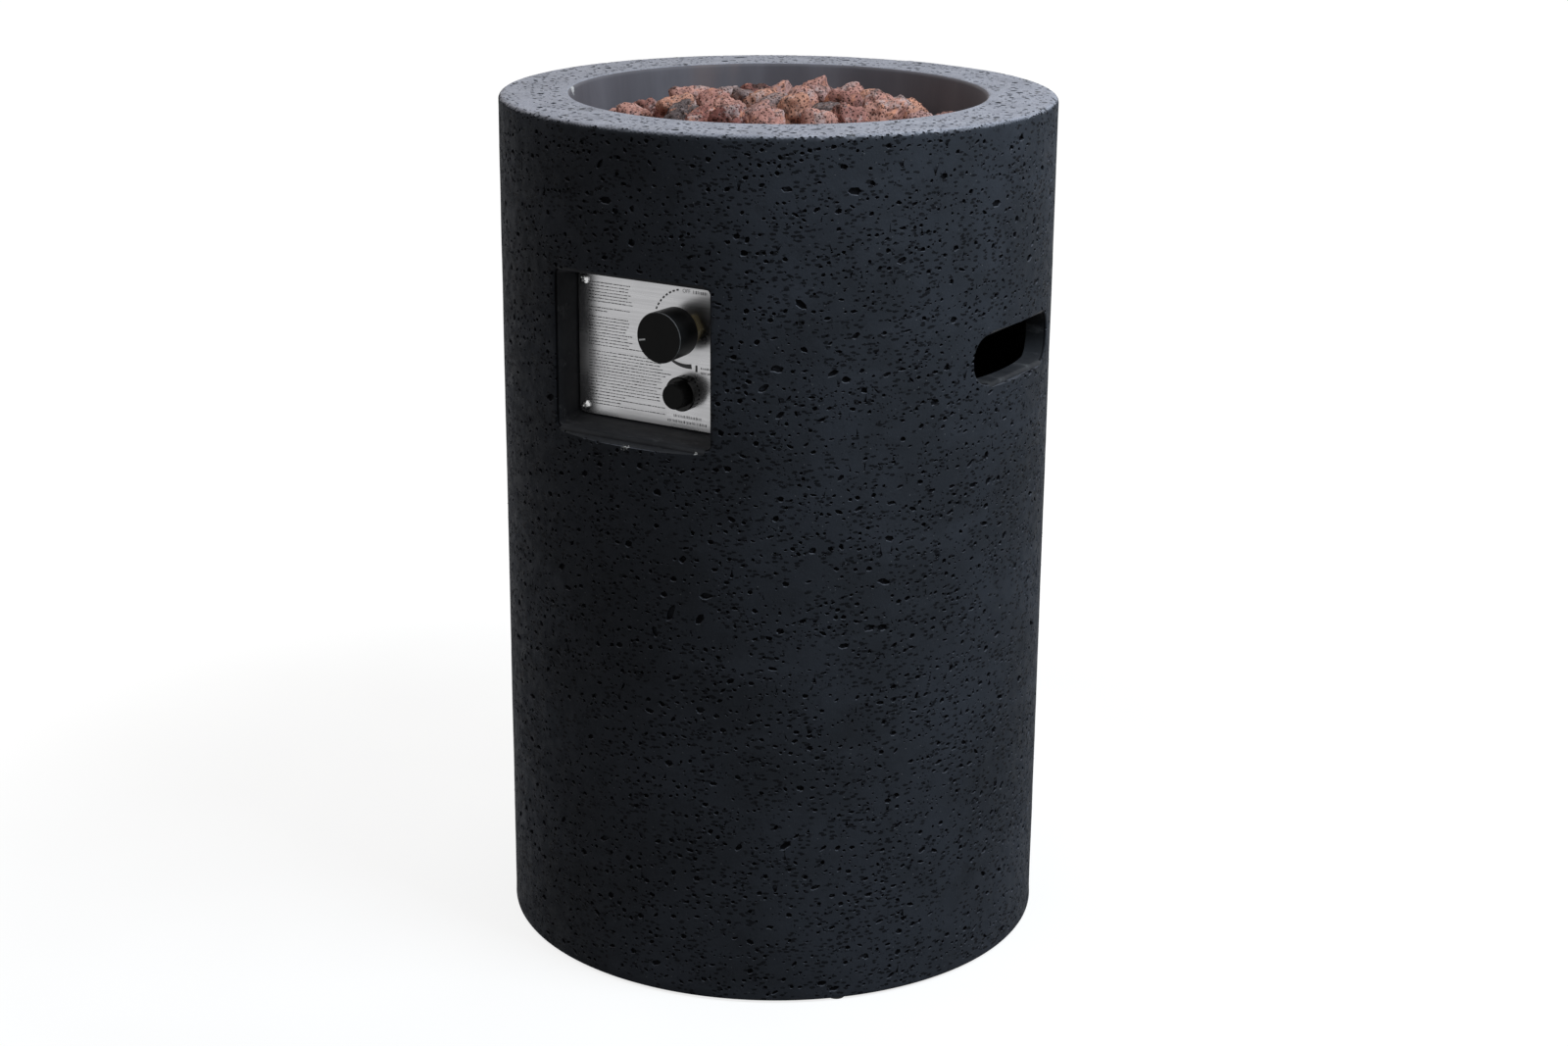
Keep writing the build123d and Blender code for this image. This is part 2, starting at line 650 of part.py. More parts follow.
def control_knob():
    hub, back, front = KNOB_HUB_DIA / 2, KNOB_BACK_DIA / 2, KNOB_DIA / 2
    inside = KNOB_FACE - KNOB_FRONT
    knob = turned(
        (0, KNOB_HUB_BASE),
        (hub, KNOB_HUB_BASE),
        (hub, inside),
        (front - KNOB_WALL, inside),
        (back - KNOB_WALL, KNOB_BASE),
        (back, KNOB_BASE),
        (front, KNOB_FACE - KNOB_CHAMFER),
        (front - KNOB_CHAMFER, KNOB_FACE),
        (0, KNOB_FACE),
    )
    rib_base = KNOB_BASE + KNOB_RIB_SETBACK
    rib_align = (Align.MIN, Align.CENTER, Align.MIN)
    rib = Box(back - KNOB_WALL, KNOB_RIB_THICK, inside - rib_base, align=rib_align)
    knob += [spot * Pos(0, 0, rib_base) * rib for spot in spaced(KNOB_RIB_COUNT, 0, 45)]
    bore = round_bar(SPINDLE_DIA + 2 * RUNNING_GAP, KNOB_HUB_BASE - OVERRUN, SPINDLE_TIP + SEAT_GAP)
    land = Box(SPINDLE_DIA, SPINDLE_FLAT, SPINDLE_FLAT_LENGTH, align=(Align.CENTER, Align.MAX, Align.MAX))
    lift = SPINDLE_DIA / 2 + RUNNING_GAP
    knob -= bore - Pos(0, lift, SPINDLE_TIP + SEAT_GAP) * land
    return VALVE * (knob - pointer())


def pointer():
    """White line at the edge of the knob's face."""
    outer = KNOB_DIA / 2 - KNOB_CHAMFER
    bar = Box(POINTER_LENGTH, POINTER_WIDTH, POINTER_DEPTH, align=(Align.MAX, Align.CENTER, Align.MAX))
    return Rot(0, 0, POINTER_ANGLE) * Pos(outer - KNOB_CHAMFER, 0, KNOB_FACE) * bar


def knob_pointer():
    return VALVE * pointer()


def inlet_elbow():
    corner = INLET_REACH + ELBOW_REACH
    hex_top = -ELBOW_DIA / 2 - ELBOW_DROP
    down = Rot(90, 0, 0)
    elbow = Rot(0, 90, 0) * round_bar(ELBOW_DIA, INLET_REACH, corner)
    elbow += Pos(corner, 0, 0) * Sphere(ELBOW_DIA / 2)
    elbow += Pos(corner, 0, 0) * down * round_bar(ELBOW_DIA, 0, -hex_top)
    elbow += Pos(corner, 0, 0) * down * hexagon(ELBOW_HEX_ACROSS, -hex_top, ELBOW_HEX_THICK - hex_top)
    stub_end = ELBOW_HEX_THICK + STUB_LENGTH - hex_top
    elbow += Pos(corner, 0, 0) * down * round_bar(STUB_DIA, ELBOW_HEX_THICK - hex_top, stub_end)
    elbow -= Rot(0, 90, 0) * round_bar(STUB_BORE, INLET_REACH - OVERRUN, corner)
    elbow -= Pos(corner, 0, 0) * down * round_bar(STUB_BORE, 0, stub_end + OVERRUN)
    return VALVE * Pos(0, 0, PORT_HEIGHT) * elbow


# Gas line


def outlet_end():
    """Middle of the valve's outlet face."""
    return (VALVE * Pos(-OUTLET_REACH, 0, PORT_HEIGHT)).position


def gas_pipe():
    start = outlet_end()
    low = INJECTOR_Z - PIPE_DROP
    points = [
        start,
        (-PIPE_SIDE, start.Y, start.Z),
        (-PIPE_SIDE, -PIPE_TURN_SETBACK, low),
        (0, 0, low),
        (0, 0, INJECTOR_Z + PIPE_SOCKET),
    ]
    return swept(points, PIPE_DIA, PIPE_BEND) - swept(points, PIPE_DIA - 2 * PIPE_WALL, PIPE_BEND)


def pipe_nuts():
    nut = hexagon(PIPE_NUT_ACROSS, 0, PIPE_NUT_LENGTH)
    nut -= round_bar(PIPE_DIA + 2 * RUNNING_GAP, 0, PIPE_NUT_LENGTH)
    start = outlet_end()
    return group([Pos(start) * Rot(0, -90, 0) * nut, Pos(0, 0, INJECTOR_Z - PIPE_NUT_LENGTH) * nut])


def gas_injector():
    body = hexagon(INJECTOR_ACROSS, INJECTOR_Z, MIXER_Z)
    body += round_bar(INJECTOR_NECK_DIA, MIXER_Z, MIXER_Z + INJECTOR_NECK_LENGTH)
    body -= round_bar(PIPE_DIA + 2 * RUNNING_GAP, INJECTOR_Z - OVERRUN, INJECTOR_Z + PIPE_SOCKET)
    return body - round_bar(JET_DIA, INJECTOR_Z, MIXER_Z + INJECTOR_NECK_LENGTH + OVERRUN)


def mixer_tube():
    tube = ring(MIXER_DIA, MIXER_DIA - 2 * MIXER_WALL, MIXER_Z, MIXER_TOP_Z)
    tube += ring(MIXER_DIA, INJECTOR_NECK_DIA + 2 * RUNNING_GAP, MIXER_Z, MIXER_Z + MIXER_END)
    window = Box(
        AIR_WINDOW_WIDTH,
        MIXER_DIA + OVERRUN,
        AIR_WINDOW_HEIGHT,
        align=(Align.CENTER, Align.CENTER, Align.MIN),
    )
    return tube - Pos(0, 0, MIXER_Z + AIR_WINDOW_RISE) * window


# Burner and pan


def burner_tube(size, corner):
    """Ring and two arms of square tube with soft edges, filled."""
    circle = BURNER_RING_DIA / 2
    hoop = revolve(Plane.XZ * Pos(circle, 0) * RectangleRounded(size, size, corner), Axis.Z)
    arm = size - BURNER_TUBE_STEP
    arm_corner = corner - BURNER_TUBE_STEP / 2
    return hoop + extrude(Plane.YZ * RectangleRounded(arm, arm, arm_corner), circle, both=True)


def burner():
    level = Pos(0, 0, BURNER_Z)
    bore = BURNER_TUBE - 2 * BURNER_TUBE_WALL
    metal = level * burner_tube(BURNER_TUBE, BURNER_TUBE_ROUND)
    metal += round_bar(BURNER_HUB_DIA, PAN_Z, BURNER_TOP_Z)
    metal += round_bar(BURNER_FLANGE_DIA, PAN_Z, PAN_Z + BURNER_FLANGE_THICK)
    metal -= level * burner_tube(bore, BURNER_TUBE_ROUND - BURNER_TUBE_WALL)
    metal -= round_bar(MIXER_DIA + 2 * RUNNING_GAP, PAN_Z - OVERRUN, MIXER_TOP_Z)
    metal -= round_bar(BURNER_THROAT_DIA, MIXER_TOP_Z - OVERRUN, BURNER_Z)
    port = round_bar(BURNER_PORT_DIA, BURNER_Z, BURNER_TOP_Z + OVERRUN)
    turn = 180 / BURNER_PORT_COUNT
    metal -= [spot * port for spot in spaced(BURNER_PORT_COUNT, BURNER_RING_DIA / 2, turn)]
    screw_top = PAN_Z + BURNER_FLANGE_THICK + OVERRUN
    screw = round_bar(BURNER_SCREW_DIA + 2 * SEAT_GAP, PAN_Z - OVERRUN, screw_top)
    return metal - [spot * screw for spot in spaced(BURNER_SCREW_COUNT, BURNER_SCREW_RADIUS, 90)]


def burner_screws():
    top = PAN_Z + BURNER_FLANGE_THICK
    screw = round_bar(BURNER_SCREW_HEAD, top, top + BURNER_SCREW_HEAD_THICK)
    screw += round_bar(BURNER_SCREW_DIA, top - BURNER_SCREW_LENGTH, top)
    return group(spot * screw for spot in spaced(BURNER_SCREW_COUNT, BURNER_SCREW_RADIUS, 90))


def burner_nuts():
    nut = hexagon(BURNER_NUT_ACROSS, LEDGE_Z - BURNER_NUT_THICK, LEDGE_Z)
    nut -= round_bar(BURNER_SCREW_DIA + 2 * RUNNING_GAP, LEDGE_Z - BURNER_NUT_THICK, LEDGE_Z)
    return group(spot * nut for spot in spaced(BURNER_SCREW_COUNT, BURNER_SCREW_RADIUS, 90))


def pan_screw():
    """Countersunk screw whose head lies flush with the pan."""
    head, shank = PAN_SCREW_HEAD / 2, PAN_SCREW_DIA / 2
    end = PAN_Z - PAN_SCREW_LENGTH
    return turned((0, PAN_Z), (head, PAN_Z), (shank, LEDGE_Z), (shank, end), (0, end))


def burner_pan():
    outer, hole = PAN_DIA / 2, MIXER_DIA / 2 + SEAT_GAP
    pan = turned(
        (hole, LEDGE_Z),
        (outer, LEDGE_Z),
        (outer, PAN_Z + PAN_LIP),
        (outer - PAN_THICK, PAN_Z + PAN_LIP),
        (outer - PAN_THICK, PAN_Z),
        (hole, PAN_Z),
    )
    screw = round_bar(BURNER_SCREW_DIA + 2 * SEAT_GAP, LEDGE_Z - OVERRUN, PAN_Z + OVERRUN)
    pan -= [spot * screw for spot in spaced(BURNER_SCREW_COUNT, BURNER_SCREW_RADIUS, 90)]
    pan -= [spot * pan_screw() for spot in spaced(PAN_SCREW_COUNT, LEDGE_SCREW_RADIUS, 45)]
    sleeve = round_bar(INSULATOR_DIA + 2 * SEAT_GAP, LEDGE_Z - OVERRUN, PAN_Z + OVERRUN)
    sensor = round_bar(SENSOR_DIA + 2 * SEAT_GAP, LEDGE_Z - OVERRUN, PAN_Z + OVERRUN)
    return pan - Pos(PROBE_SPREAD / 2, PROBE_Y, 0) * sleeve - Pos(-PROBE_SPREAD / 2, PROBE_Y, 0) * sensor


def pan_screws():
    return group(spot * pan_screw() for spot in spaced(PAN_SCREW_COUNT, LEDGE_SCREW_RADIUS, 45))


# Pilot group


def pilot_bracket():
    foot = Box(BRACKET_WIDTH, BRACKET_DEPTH, BRACKET_THICK, align=(Align.CENTER, Align.CENTER, Align.MIN))
    lip = Box(BRACKET_WIDTH, BRACKET_THICK, BRACKET_LIP, align=(Align.CENTER, Align.MIN, Align.MIN))
    bracket = foot + Pos(0, -BRACKET_DEPTH / 2, 0) * lip
    bracket -= Pos(PROBE_SPREAD / 2, 0, 0) * round_bar(INSULATOR_DIA + 2 * RUNNING_GAP, -OVERRUN, OVERRUN)
    bracket -= Pos(-PROBE_SPREAD / 2, 0, 0) * round_bar(SENSOR_DIA + 2 * RUNNING_GAP, -OVERRUN, OVERRUN)
    return Pos(0, PROBE_Y, PAN_Z) * bracket


def flame_guard():
    tall = BURNER_TOP_Z - GUARD_DROP - PAN_Z
    cover = Box(GUARD_WIDTH, GUARD_DEPTH, tall, align=(Align.CENTER, Align.CENTER, Align.MIN))
    inside = GUARD_WIDTH - 2 * GUARD_THICK
    cover -= Box(inside, GUARD_DEPTH, tall - GUARD_THICK, align=(Align.CENTER, Align.CENTER, Align.MIN))
    slot = plate(GUARD_SLOT_WIDTH, GUARD_SLOT_LENGTH, GUARD_SLOT_WIDTH / 3, tall - OVERRUN, tall + OVERRUN)
    pitch = inside / GUARD_SLOT_COUNT
    middle = (GUARD_SLOT_COUNT - 1) / 2
    cover -= [Pos((n - middle) * pitch, 0, 0) * slot for n in range(GUARD_SLOT_COUNT)]
    return Pos(0, PROBE_Y, PAN_Z) * cover


def electrode_insulator():
    sleeve = round_bar(INSULATOR_DIA, BRACKET_TOP_Z - INSULATOR_BELOW, BRACKET_TOP_Z + INSULATOR_ABOVE)
    sleeve += round_bar(INSULATOR_COLLAR_DIA, BRACKET_TOP_Z, BRACKET_TOP_Z + PROBE_COLLAR_THICK)
    sleeve -= round_bar(ROD_DIA + 2 * RUNNING_GAP, BRACKET_TOP_Z - ROD_BELOW, BRACKET_TOP_Z + ROD_ABOVE)
    return Pos(PROBE_SPREAD / 2, PROBE_Y, 0) * sleeve


def rod_end_z():
    """Lower end of the spark rod."""
    return BRACKET_TOP_Z - ROD_BELOW


def electrode_rod():
    x = PROBE_SPREAD / 2
    tip = -(BURNER_RING_DIA / 2 + BURNER_TUBE / 2 + SPARK_GAP)
    top = BRACKET_TOP_Z + ROD_ABOVE
    return swept([(x, PROBE_Y, rod_end_z()), (x, PROBE_Y, top), (x, tip, top)], ROD_DIA, ROD_BEND)


def sensor_end_z():
    """Lower end of the thermocouple."""
    return BRACKET_TOP_Z - SENSOR_BELOW


def thermocouple_tip():
    radius = SENSOR_DIA / 2
    top = BRACKET_TOP_Z + SENSOR_ABOVE
    probe = round_bar(SENSOR_DIA, sensor_end_z(), top - radius)
    probe += Pos(0, 0, top - radius) * Sphere(radius)
    probe += round_bar(SENSOR_COLLAR_DIA, BRACKET_TOP_Z, BRACKET_TOP_Z + PROBE_COLLAR_THICK)
    return Pos(-PROBE_SPREAD / 2, PROBE_Y, 0) * probe


def thermocouple_lead():
    end = (VALVE * Pos(0, 0, MAGNET_END)).position
    x = -PROBE_SPREAD / 2
    points = [
        (x, PROBE_Y, sensor_end_z()),
        (x, PROBE_Y, sensor_end_z() - SENSOR_LEAD_DROP),
        (x, -SENSOR_LEAD_TURN, end.Z + SENSOR_LEAD_LOW),
        (end.X, -SENSOR_LEAD_TURN, end.Z),
        end,
    ]
    return swept(points, SENSOR_LEAD_DIA, SENSOR_LEAD_BEND)


def ignition_lead():
    start = (IGNITER * Pos(0, 0, IGNITER_TUBE_END - TERMINAL_LENGTH)).position
    exit_y = start.Y + SPARK_LEAD_EXIT
    side = start.X + SPARK_LEAD_SIDE
    x = PROBE_SPREAD / 2
    points = [
        start,
        (start.X, exit_y, start.Z),
        (side, exit_y + SPARK_LEAD_SETBACK, start.Z + SPARK_LEAD_FIRST_RISE),
        (side, exit_y - SPARK_LEAD_SETBACK, start.Z + SPARK_LEAD_RISE),
        (x, PROBE_Y, rod_end_z() - SPARK_LEAD_DROP),
        (x, PROBE_Y, rod_end_z()),
    ]
    return swept(points, SPARK_LEAD_DIA, SPARK_LEAD_BEND)


# Spark igniter


def igniter_housing():
    neck, shoulder, tube = IGNITER_NECK_DIA / 2, IGNITER_SHOULDER_DIA / 2, IGNITER_TUBE_DIA / 2
    wide = neck - IGNITER_NECK_WALL
    bore = BATTERY_DIA / 2 + SEAT_GAP
    step = IGNITER_NECK_PROUD - IGNITER_NECK_DEPTH
    floor = IGNITER_TUBE_END + IGNITER_END
    return IGNITER * turned(
        (neck, IGNITER_NECK_PROUD),
        (neck, -PLATE_THICK),
        (shoulder, -PLATE_THICK),
        (shoulder, IGNITER_TUBE_TOP),
        (tube, IGNITER_TUBE_TOP),
        (tube, IGNITER_TUBE_END),
        (0, IGNITER_TUBE_END),
        (0, floor),
        (bore, floor),
        (bore, step),
        (wide, step),
        (wide, IGNITER_NECK_PROUD),
    )


def igniter_nut():
    return IGNITER * ring(IGNITER_NUT_DIA, IGNITER_NECK_DIA + 2 * RUNNING_GAP, 0, IGNITER_NUT_THICK)


def igniter_collar():
    outer, inner = COLLAR_DIA / 2, IGNITER_NECK_DIA / 2 + RUNNING_GAP
    mouth = BUTTON_DIA / 2 + 2 * RUNNING_GAP
    base, lip = IGNITER_NUT_THICK + RUNNING_GAP, COLLAR_FACE - COLLAR_LIP
    collar = turned(
        (inner, base),
        (outer, base),
        (outer, COLLAR_FACE - COLLAR_EDGE),
        (outer - COLLAR_EDGE, COLLAR_FACE),
        (mouth, COLLAR_FACE),
        (mouth, lip),
        (inner, lip),
    )
    flute = round_bar(FLUTE_DIA, base - OVERRUN, lip)
    flute_radius = outer + FLUTE_DIA / 2 - FLUTE_DEPTH
    return IGNITER * (collar - [spot * flute for spot in spaced(FLUTE_COUNT, flute_radius)])


def igniter_button():
    radius, flange = BUTTON_DIA / 2, BUTTON_FLANGE_DIA / 2
    foot = BUTTON_FLANGE_TOP - BUTTON_FLANGE_THICK
    under = BUTTON_FACE - BUTTON_FRONT
    return IGNITER * turned(
        (0, under),
        (radius - BUTTON_WALL, under),
        (radius - BUTTON_WALL, foot),
        (flange, foot),
        (flange, BUTTON_FLANGE_TOP),
        (radius, BUTTON_FLANGE_TOP),
        (radius, BUTTON_FACE - BUTTON_EDGE),
        (radius - BUTTON_EDGE, BUTTON_FACE),
        (0, BUTTON_FACE),
    )


def igniter_spring():
    end = BUTTON_FACE - BUTTON_FRONT - SEAT_GAP
    return IGNITER * coil(BUTTON_COIL_DIA, BUTTON_WIRE, BUTTON_TURNS, BATTERY_TOP + SEAT_GAP, end)


def igniter_battery():
    cell = round_bar(BATTERY_DIA, BATTERY_END, BATTERY_TOP)
    return IGNITER * (cell + round_bar(BATTERY_NUB_DIA, BATTERY_TOP, BATTERY_TOP + BATTERY_NUB))


def igniter_terminal():
    hung = (Align.CENTER, Align.CENTER, Align.MAX)
    tab = Box(TERMINAL_WIDTH, TERMINAL_THICK, TERMINAL_LENGTH, align=hung)
    return IGNITER * Pos(0, 0, IGNITER_TUBE_END) * tab


# Lava stones


def block(middle, reach):
    """Faces of a cube about a point, each a ring of corners."""
    steps = (Vector(reach, 0, 0), Vector(0, reach, 0), Vector(0, 0, reach))
    faces = []
    for n, out in enumerate(steps):
        u, v = steps[n - 1], steps[n - 2]
        corners = (u + v, u - v, -u - v, v - u)
        faces.append([middle + out + corner for corner in corners])
        faces.append([middle - out + corner for corner in corners])
    return faces


def cut(faces, normal, limit):
    """What is left of a convex block where normal · point stays below the limit."""
    kept, edge = [], []
    for face in faces:
        heights = [corner.dot(normal) - limit for corner in face]
        inside = []
        for n, corner in enumerate(face):
            before, h, h_before = face[n - 1], heights[n], heights[n - 1]
            if h * h_before < 0:
                crossing = before + (corner - before) * (h_before / (h_before - h))
                inside.append(crossing)
                edge.append(crossing)
            if h <= 0:
                inside.append(corner)
        if len(inside) > 2:
            kept.append(inside)
    if edge:
        middle = sum(edge, Vector()) / len(edge)
        across = (edge[0] - middle).normalized()
        up = normal.cross(across)
        edge.sort(key=lambda p: math.atan2((p - middle).dot(up), (p - middle).dot(across)))
        kept.append(edge[::2])
    return kept


def stone_solid(faces):
    return Solid(Shell([Face(Wire.make_polygon(face)) for face in faces]))


def ring_spots(inner, outer, pitch, turn):
    """Places on rings between two radii, about a pitch apart, as (radius, angle)."""
    rings = max(1, round((outer - inner) / pitch))
    step = (outer - inner) / rings
    spots = []
    for n in range(rings):
        radius = inner + step * (n + 0.5)
        count = max(3, math.floor(2 * math.pi * radius / pitch))
        spots += [(radius, turn + 2 * math.pi * (k + n / 2) / count) for k in range(count)]
    return spots


def base_stones():
    """Stones round the burner and inside its ring, up to the top of its tube."""
    gap = SEAT_GAP
    circle, tube = BURNER_RING_DIA / 2, BURNER_TUBE / 2
    wall = PAN_DIA / 2 - PAN_THICK
    bands = [(circle + tube, wall), (BURNER_FLANGE_DIA / 2, circle - tube)]
    guard_out = GUARD_INNER + GUARD_DEPTH
    stones = []
    for inner, outer in bands:
        spots = ring_spots(inner, outer, BASE_STONE_PITCH, math.pi / 2)
        seeds = [Vector(r * math.cos(a), r * math.sin(a), (PAN_Z + BURNER_TOP_Z) / 2) for r, a in spots]
        for seed, (radius, angle) in zip(seeds, spots):
            faces = block(seed, BASE_STONE_PITCH)
            faces = cut(faces, Vector(0, 0, 1), BURNER_TOP_Z)
            faces = cut(faces, Vector(0, 0, -1), -PAN_Z - gap)
            faces = cut(faces, Vector(-math.cos(angle), -math.sin(angle), 0), -inner - gap)
            spread = math.pi / len(spots)
            for n in (-1, -0.5, 0, 0.5, 1):
                out = Vector(math.cos(angle + n * spread), math.sin(angle + n * spread), 0)
                faces = cut(faces, out, (outer - gap) * math.cos(spread / 4))
            for other in seeds:
                if other is not seed:
                    way = (other - seed).normalized()
                    faces = cut(faces, way, way.dot((other + seed) / 2) - STONE_GAP / 2)
            if outer == wall and seed.Y < 0:
                if abs(seed.X) > GUARD_WIDTH / 2:
                    faces = cut(faces, Vector(-math.copysign(1, seed.X), 0, 0), -GUARD_WIDTH / 2 - gap)
                else:
                    faces = cut(faces, Vector(0, 1, 0), -guard_out - gap)
            if outer != wall:
                arm_side = Vector(0, -math.copysign(1, seed.Y), 0)
                faces = cut(faces, arm_side, -tube - gap)
            stones.append(stone_solid(faces))
    return group(stones)


def heap_height(radius, wall):
    """Level of the heap's top: low at the wall, highest in the middle."""
    low, high = COLUMN_TOP - HEAP_WALL_DROP, COLUMN_TOP + HEAP_PEAK_RISE
    return low + (high - low) * (1 - (radius / wall) ** 2)


def heap_seeds(chance, floor, wall):
    """Middles of the upper stones with their tops: one layer at the wall and two in the middle."""
    shift = STONE_SHIFT_SHARE * STONE_PITCH
    seeds = []
    for layer in range(2):
        for radius, angle in ring_spots(0, wall, STONE_PITCH, layer):
            top = heap_height(radius, wall)
            deep = top - floor > HEAP_TWO_DEEP
            if layer and not deep:
                continue
            share = (LOW_LAYER_SHARE, HIGH_LAYER_SHARE)[layer] if deep else SINGLE_LAYER_SHARE
            x, y = radius * math.cos(angle), radius * math.sin(angle)
            middle = Vector(x, y, floor + share * (top - floor))
            middle += Vector(chance.uniform(-shift, shift), chance.uniform(-shift, shift), 0)
            seeds.append((middle, top + chance.uniform(-HEAP_SWING, HEAP_SWING)))
    return seeds


def heap_stones():
    """Stones above the burner, heaped towards the middle of the well."""
    chance = random.Random(STONE_SEED)
    floor = BURNER_TOP_Z + SEAT_GAP
    draft = (WELL_MOUTH_DIA - WELL_FLOOR_DIA) / 2 / WELL_DEPTH
    narrowest = min(WELL_FLOOR_DIA / 2 + draft * (floor - LEDGE_Z), WELL_MOUTH_DIA / 2)
    wall = narrowest - SEAT_GAP
    seeds = heap_seeds(chance, floor, wall)
    weights = [chance.uniform(0, (STONE_WEIGHT_SHARE * STONE_PITCH) ** 2) for _ in seeds]
    reach = STONE_REACH_SHARE * STONE_PITCH
    stones = []
    for (seed, top), weight in zip(seeds, weights):
        faces = cut(block(seed, reach), Vector(0, 0, -1), -floor)
        tilt = Vector(chance.uniform(-1, 1), chance.uniform(-1, 1), 0) * STONE_TILT_SHARE
        up = (Vector(0, 0, 1) + tilt).normalized()
        faces = cut(faces, up, up.dot(Vector(seed.X, seed.Y, top)))
        angle = math.atan2(seed.Y, seed.X)
        spread = STONE_PITCH / wall
        for n in range(-3, 4):
            out = Vector(math.cos(angle + n * spread / 3), math.sin(angle + n * spread / 3), 0)
            faces = cut(faces, out, wall * math.cos(spread / 6))
        for (other, _), other_weight in zip(seeds, weights):
            apart = (other - seed).length
            if 0 < apart < 2 * reach + STONE_PITCH:
                way = (other - seed) / apart
                share = (apart + (weight - other_weight) / apart) / 2
                faces = cut(faces, way, way.dot(seed) + share - STONE_GAP / 2)
        for _ in range(STONE_CUT_COUNT):
            way = Vector(chance.gauss(0, 1), chance.gauss(0, 1), abs(chance.gauss(0, 1))).normalized()
            faces = cut(faces, way, way.dot(seed) + STONE_PITCH * chance.uniform(*STONE_CUT_SHARES))
        stones.append(stone_solid(faces))
    return group(stones)


NODES = {
    "column_shell": column_shell,
    "foot_pads": foot_pads,
    "control_plate": control_plate,
    "plate_screws": plate_screws,
    "valve_body": valve_body,
    "valve_lock_nut": valve_lock_nut,
    "spindle_retainer": spindle_retainer,
    "valve_spindle": valve_spindle,
    "knob_return_spring": knob_return_spring,
    "valve_plug": valve_plug,
    "safety_magnet": safety_magnet,
    "control_knob": control_knob,
    "knob_pointer": knob_pointer,
    "inlet_elbow": inlet_elbow,
    "gas_pipe": gas_pipe,
    "pipe_nuts": pipe_nuts,
    "gas_injector": gas_injector,
    "mixer_tube": mixer_tube,
    "burner": burner,
    "burner_screws": burner_screws,
    "burner_nuts": burner_nuts,
    "burner_pan": burner_pan,
    "pan_screws": pan_screws,
    "pilot_bracket": pilot_bracket,
    "flame_guard": flame_guard,
    "electrode_insulator": electrode_insulator,
    "electrode_rod": electrode_rod,
    "thermocouple_tip": thermocouple_tip,
    "thermocouple_lead": thermocouple_lead,
    "ignition_lead": ignition_lead,
    "igniter_housing": igniter_housing,
    "igniter_nut": igniter_nut,
    "igniter_collar": igniter_collar,
    "igniter_button": igniter_button,
    "igniter_spring": igniter_spring,
    "igniter_battery": igniter_battery,
    "igniter_terminal": igniter_terminal,
    "lava_rocks_base": base_stones,
    "lava_rocks": heap_stones,
}

os.makedirs("parts", exist_ok=True)
for name, make in NODES.items():
    export_step(make(), f"parts/{name}.step")
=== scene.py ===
import json
import math
import random
import bmesh
import bpy
import numpy as np
from mathutils import Matrix, Vector, noise
from mathutils.geometry import delaunay_2d_cdt


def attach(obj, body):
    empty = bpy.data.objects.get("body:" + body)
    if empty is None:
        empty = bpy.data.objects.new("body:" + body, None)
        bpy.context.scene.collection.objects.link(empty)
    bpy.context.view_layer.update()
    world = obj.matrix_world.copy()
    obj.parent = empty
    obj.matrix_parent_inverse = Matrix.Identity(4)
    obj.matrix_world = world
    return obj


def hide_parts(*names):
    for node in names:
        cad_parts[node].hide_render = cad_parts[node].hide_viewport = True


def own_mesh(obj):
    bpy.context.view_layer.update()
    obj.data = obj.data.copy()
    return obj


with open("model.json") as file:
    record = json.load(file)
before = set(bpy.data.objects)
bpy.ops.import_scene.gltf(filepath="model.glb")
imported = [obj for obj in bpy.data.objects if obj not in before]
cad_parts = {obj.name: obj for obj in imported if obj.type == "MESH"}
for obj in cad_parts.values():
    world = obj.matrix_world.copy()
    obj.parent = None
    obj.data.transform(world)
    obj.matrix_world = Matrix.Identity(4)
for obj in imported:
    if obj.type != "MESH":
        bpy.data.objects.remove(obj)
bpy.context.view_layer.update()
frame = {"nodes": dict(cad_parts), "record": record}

SCENE = bpy.context.scene
SCENE.view_settings.view_transform = "Standard"

# Lengths are in millimetres and become metres in new_piece
MM = 0.001

# Column
COLUMN_RADIUS = 199.9
COLUMN_FOOT = 1.55
COLUMN_TOP = 619.95
COLUMN_INNER = 184
BASE_ROUND = 2
RIM_ROUND = 4
MOUTH_RADIUS = 149
MOUTH_ROUND = 3
LEDGE_RADIUS = 144
LEDGE_INNER = 120
LEDGE_Z = 548
LEDGE_THICK = 14
WELL_BACK = 162
RIM_THICK = 26
COLUMNS = 360
EDGE_ROUND = 3

# Larger air holes, at the same places as on the solid
HOLE_COUNT = 170
RIM_HOLE_COUNT = 20
HOLE_SEED = 17
HOLE_LARGEST = 3.4
HOLE_DEPTH = 2.2
HOLE_EDGE_GAP = 8
HOLE_SHIFT = 12
HOLE_SLANT_ANGLE = 10
HOLE_SWING_ANGLE = 25
HOLE_CORNER_COUNT = 6
HOLE_SIZE_SHARES = (0.55, 1)
HOLE_LONG_SHARES = (1.1, 1.9)
HOLE_CORNER_SHARES = (0.72, 1)

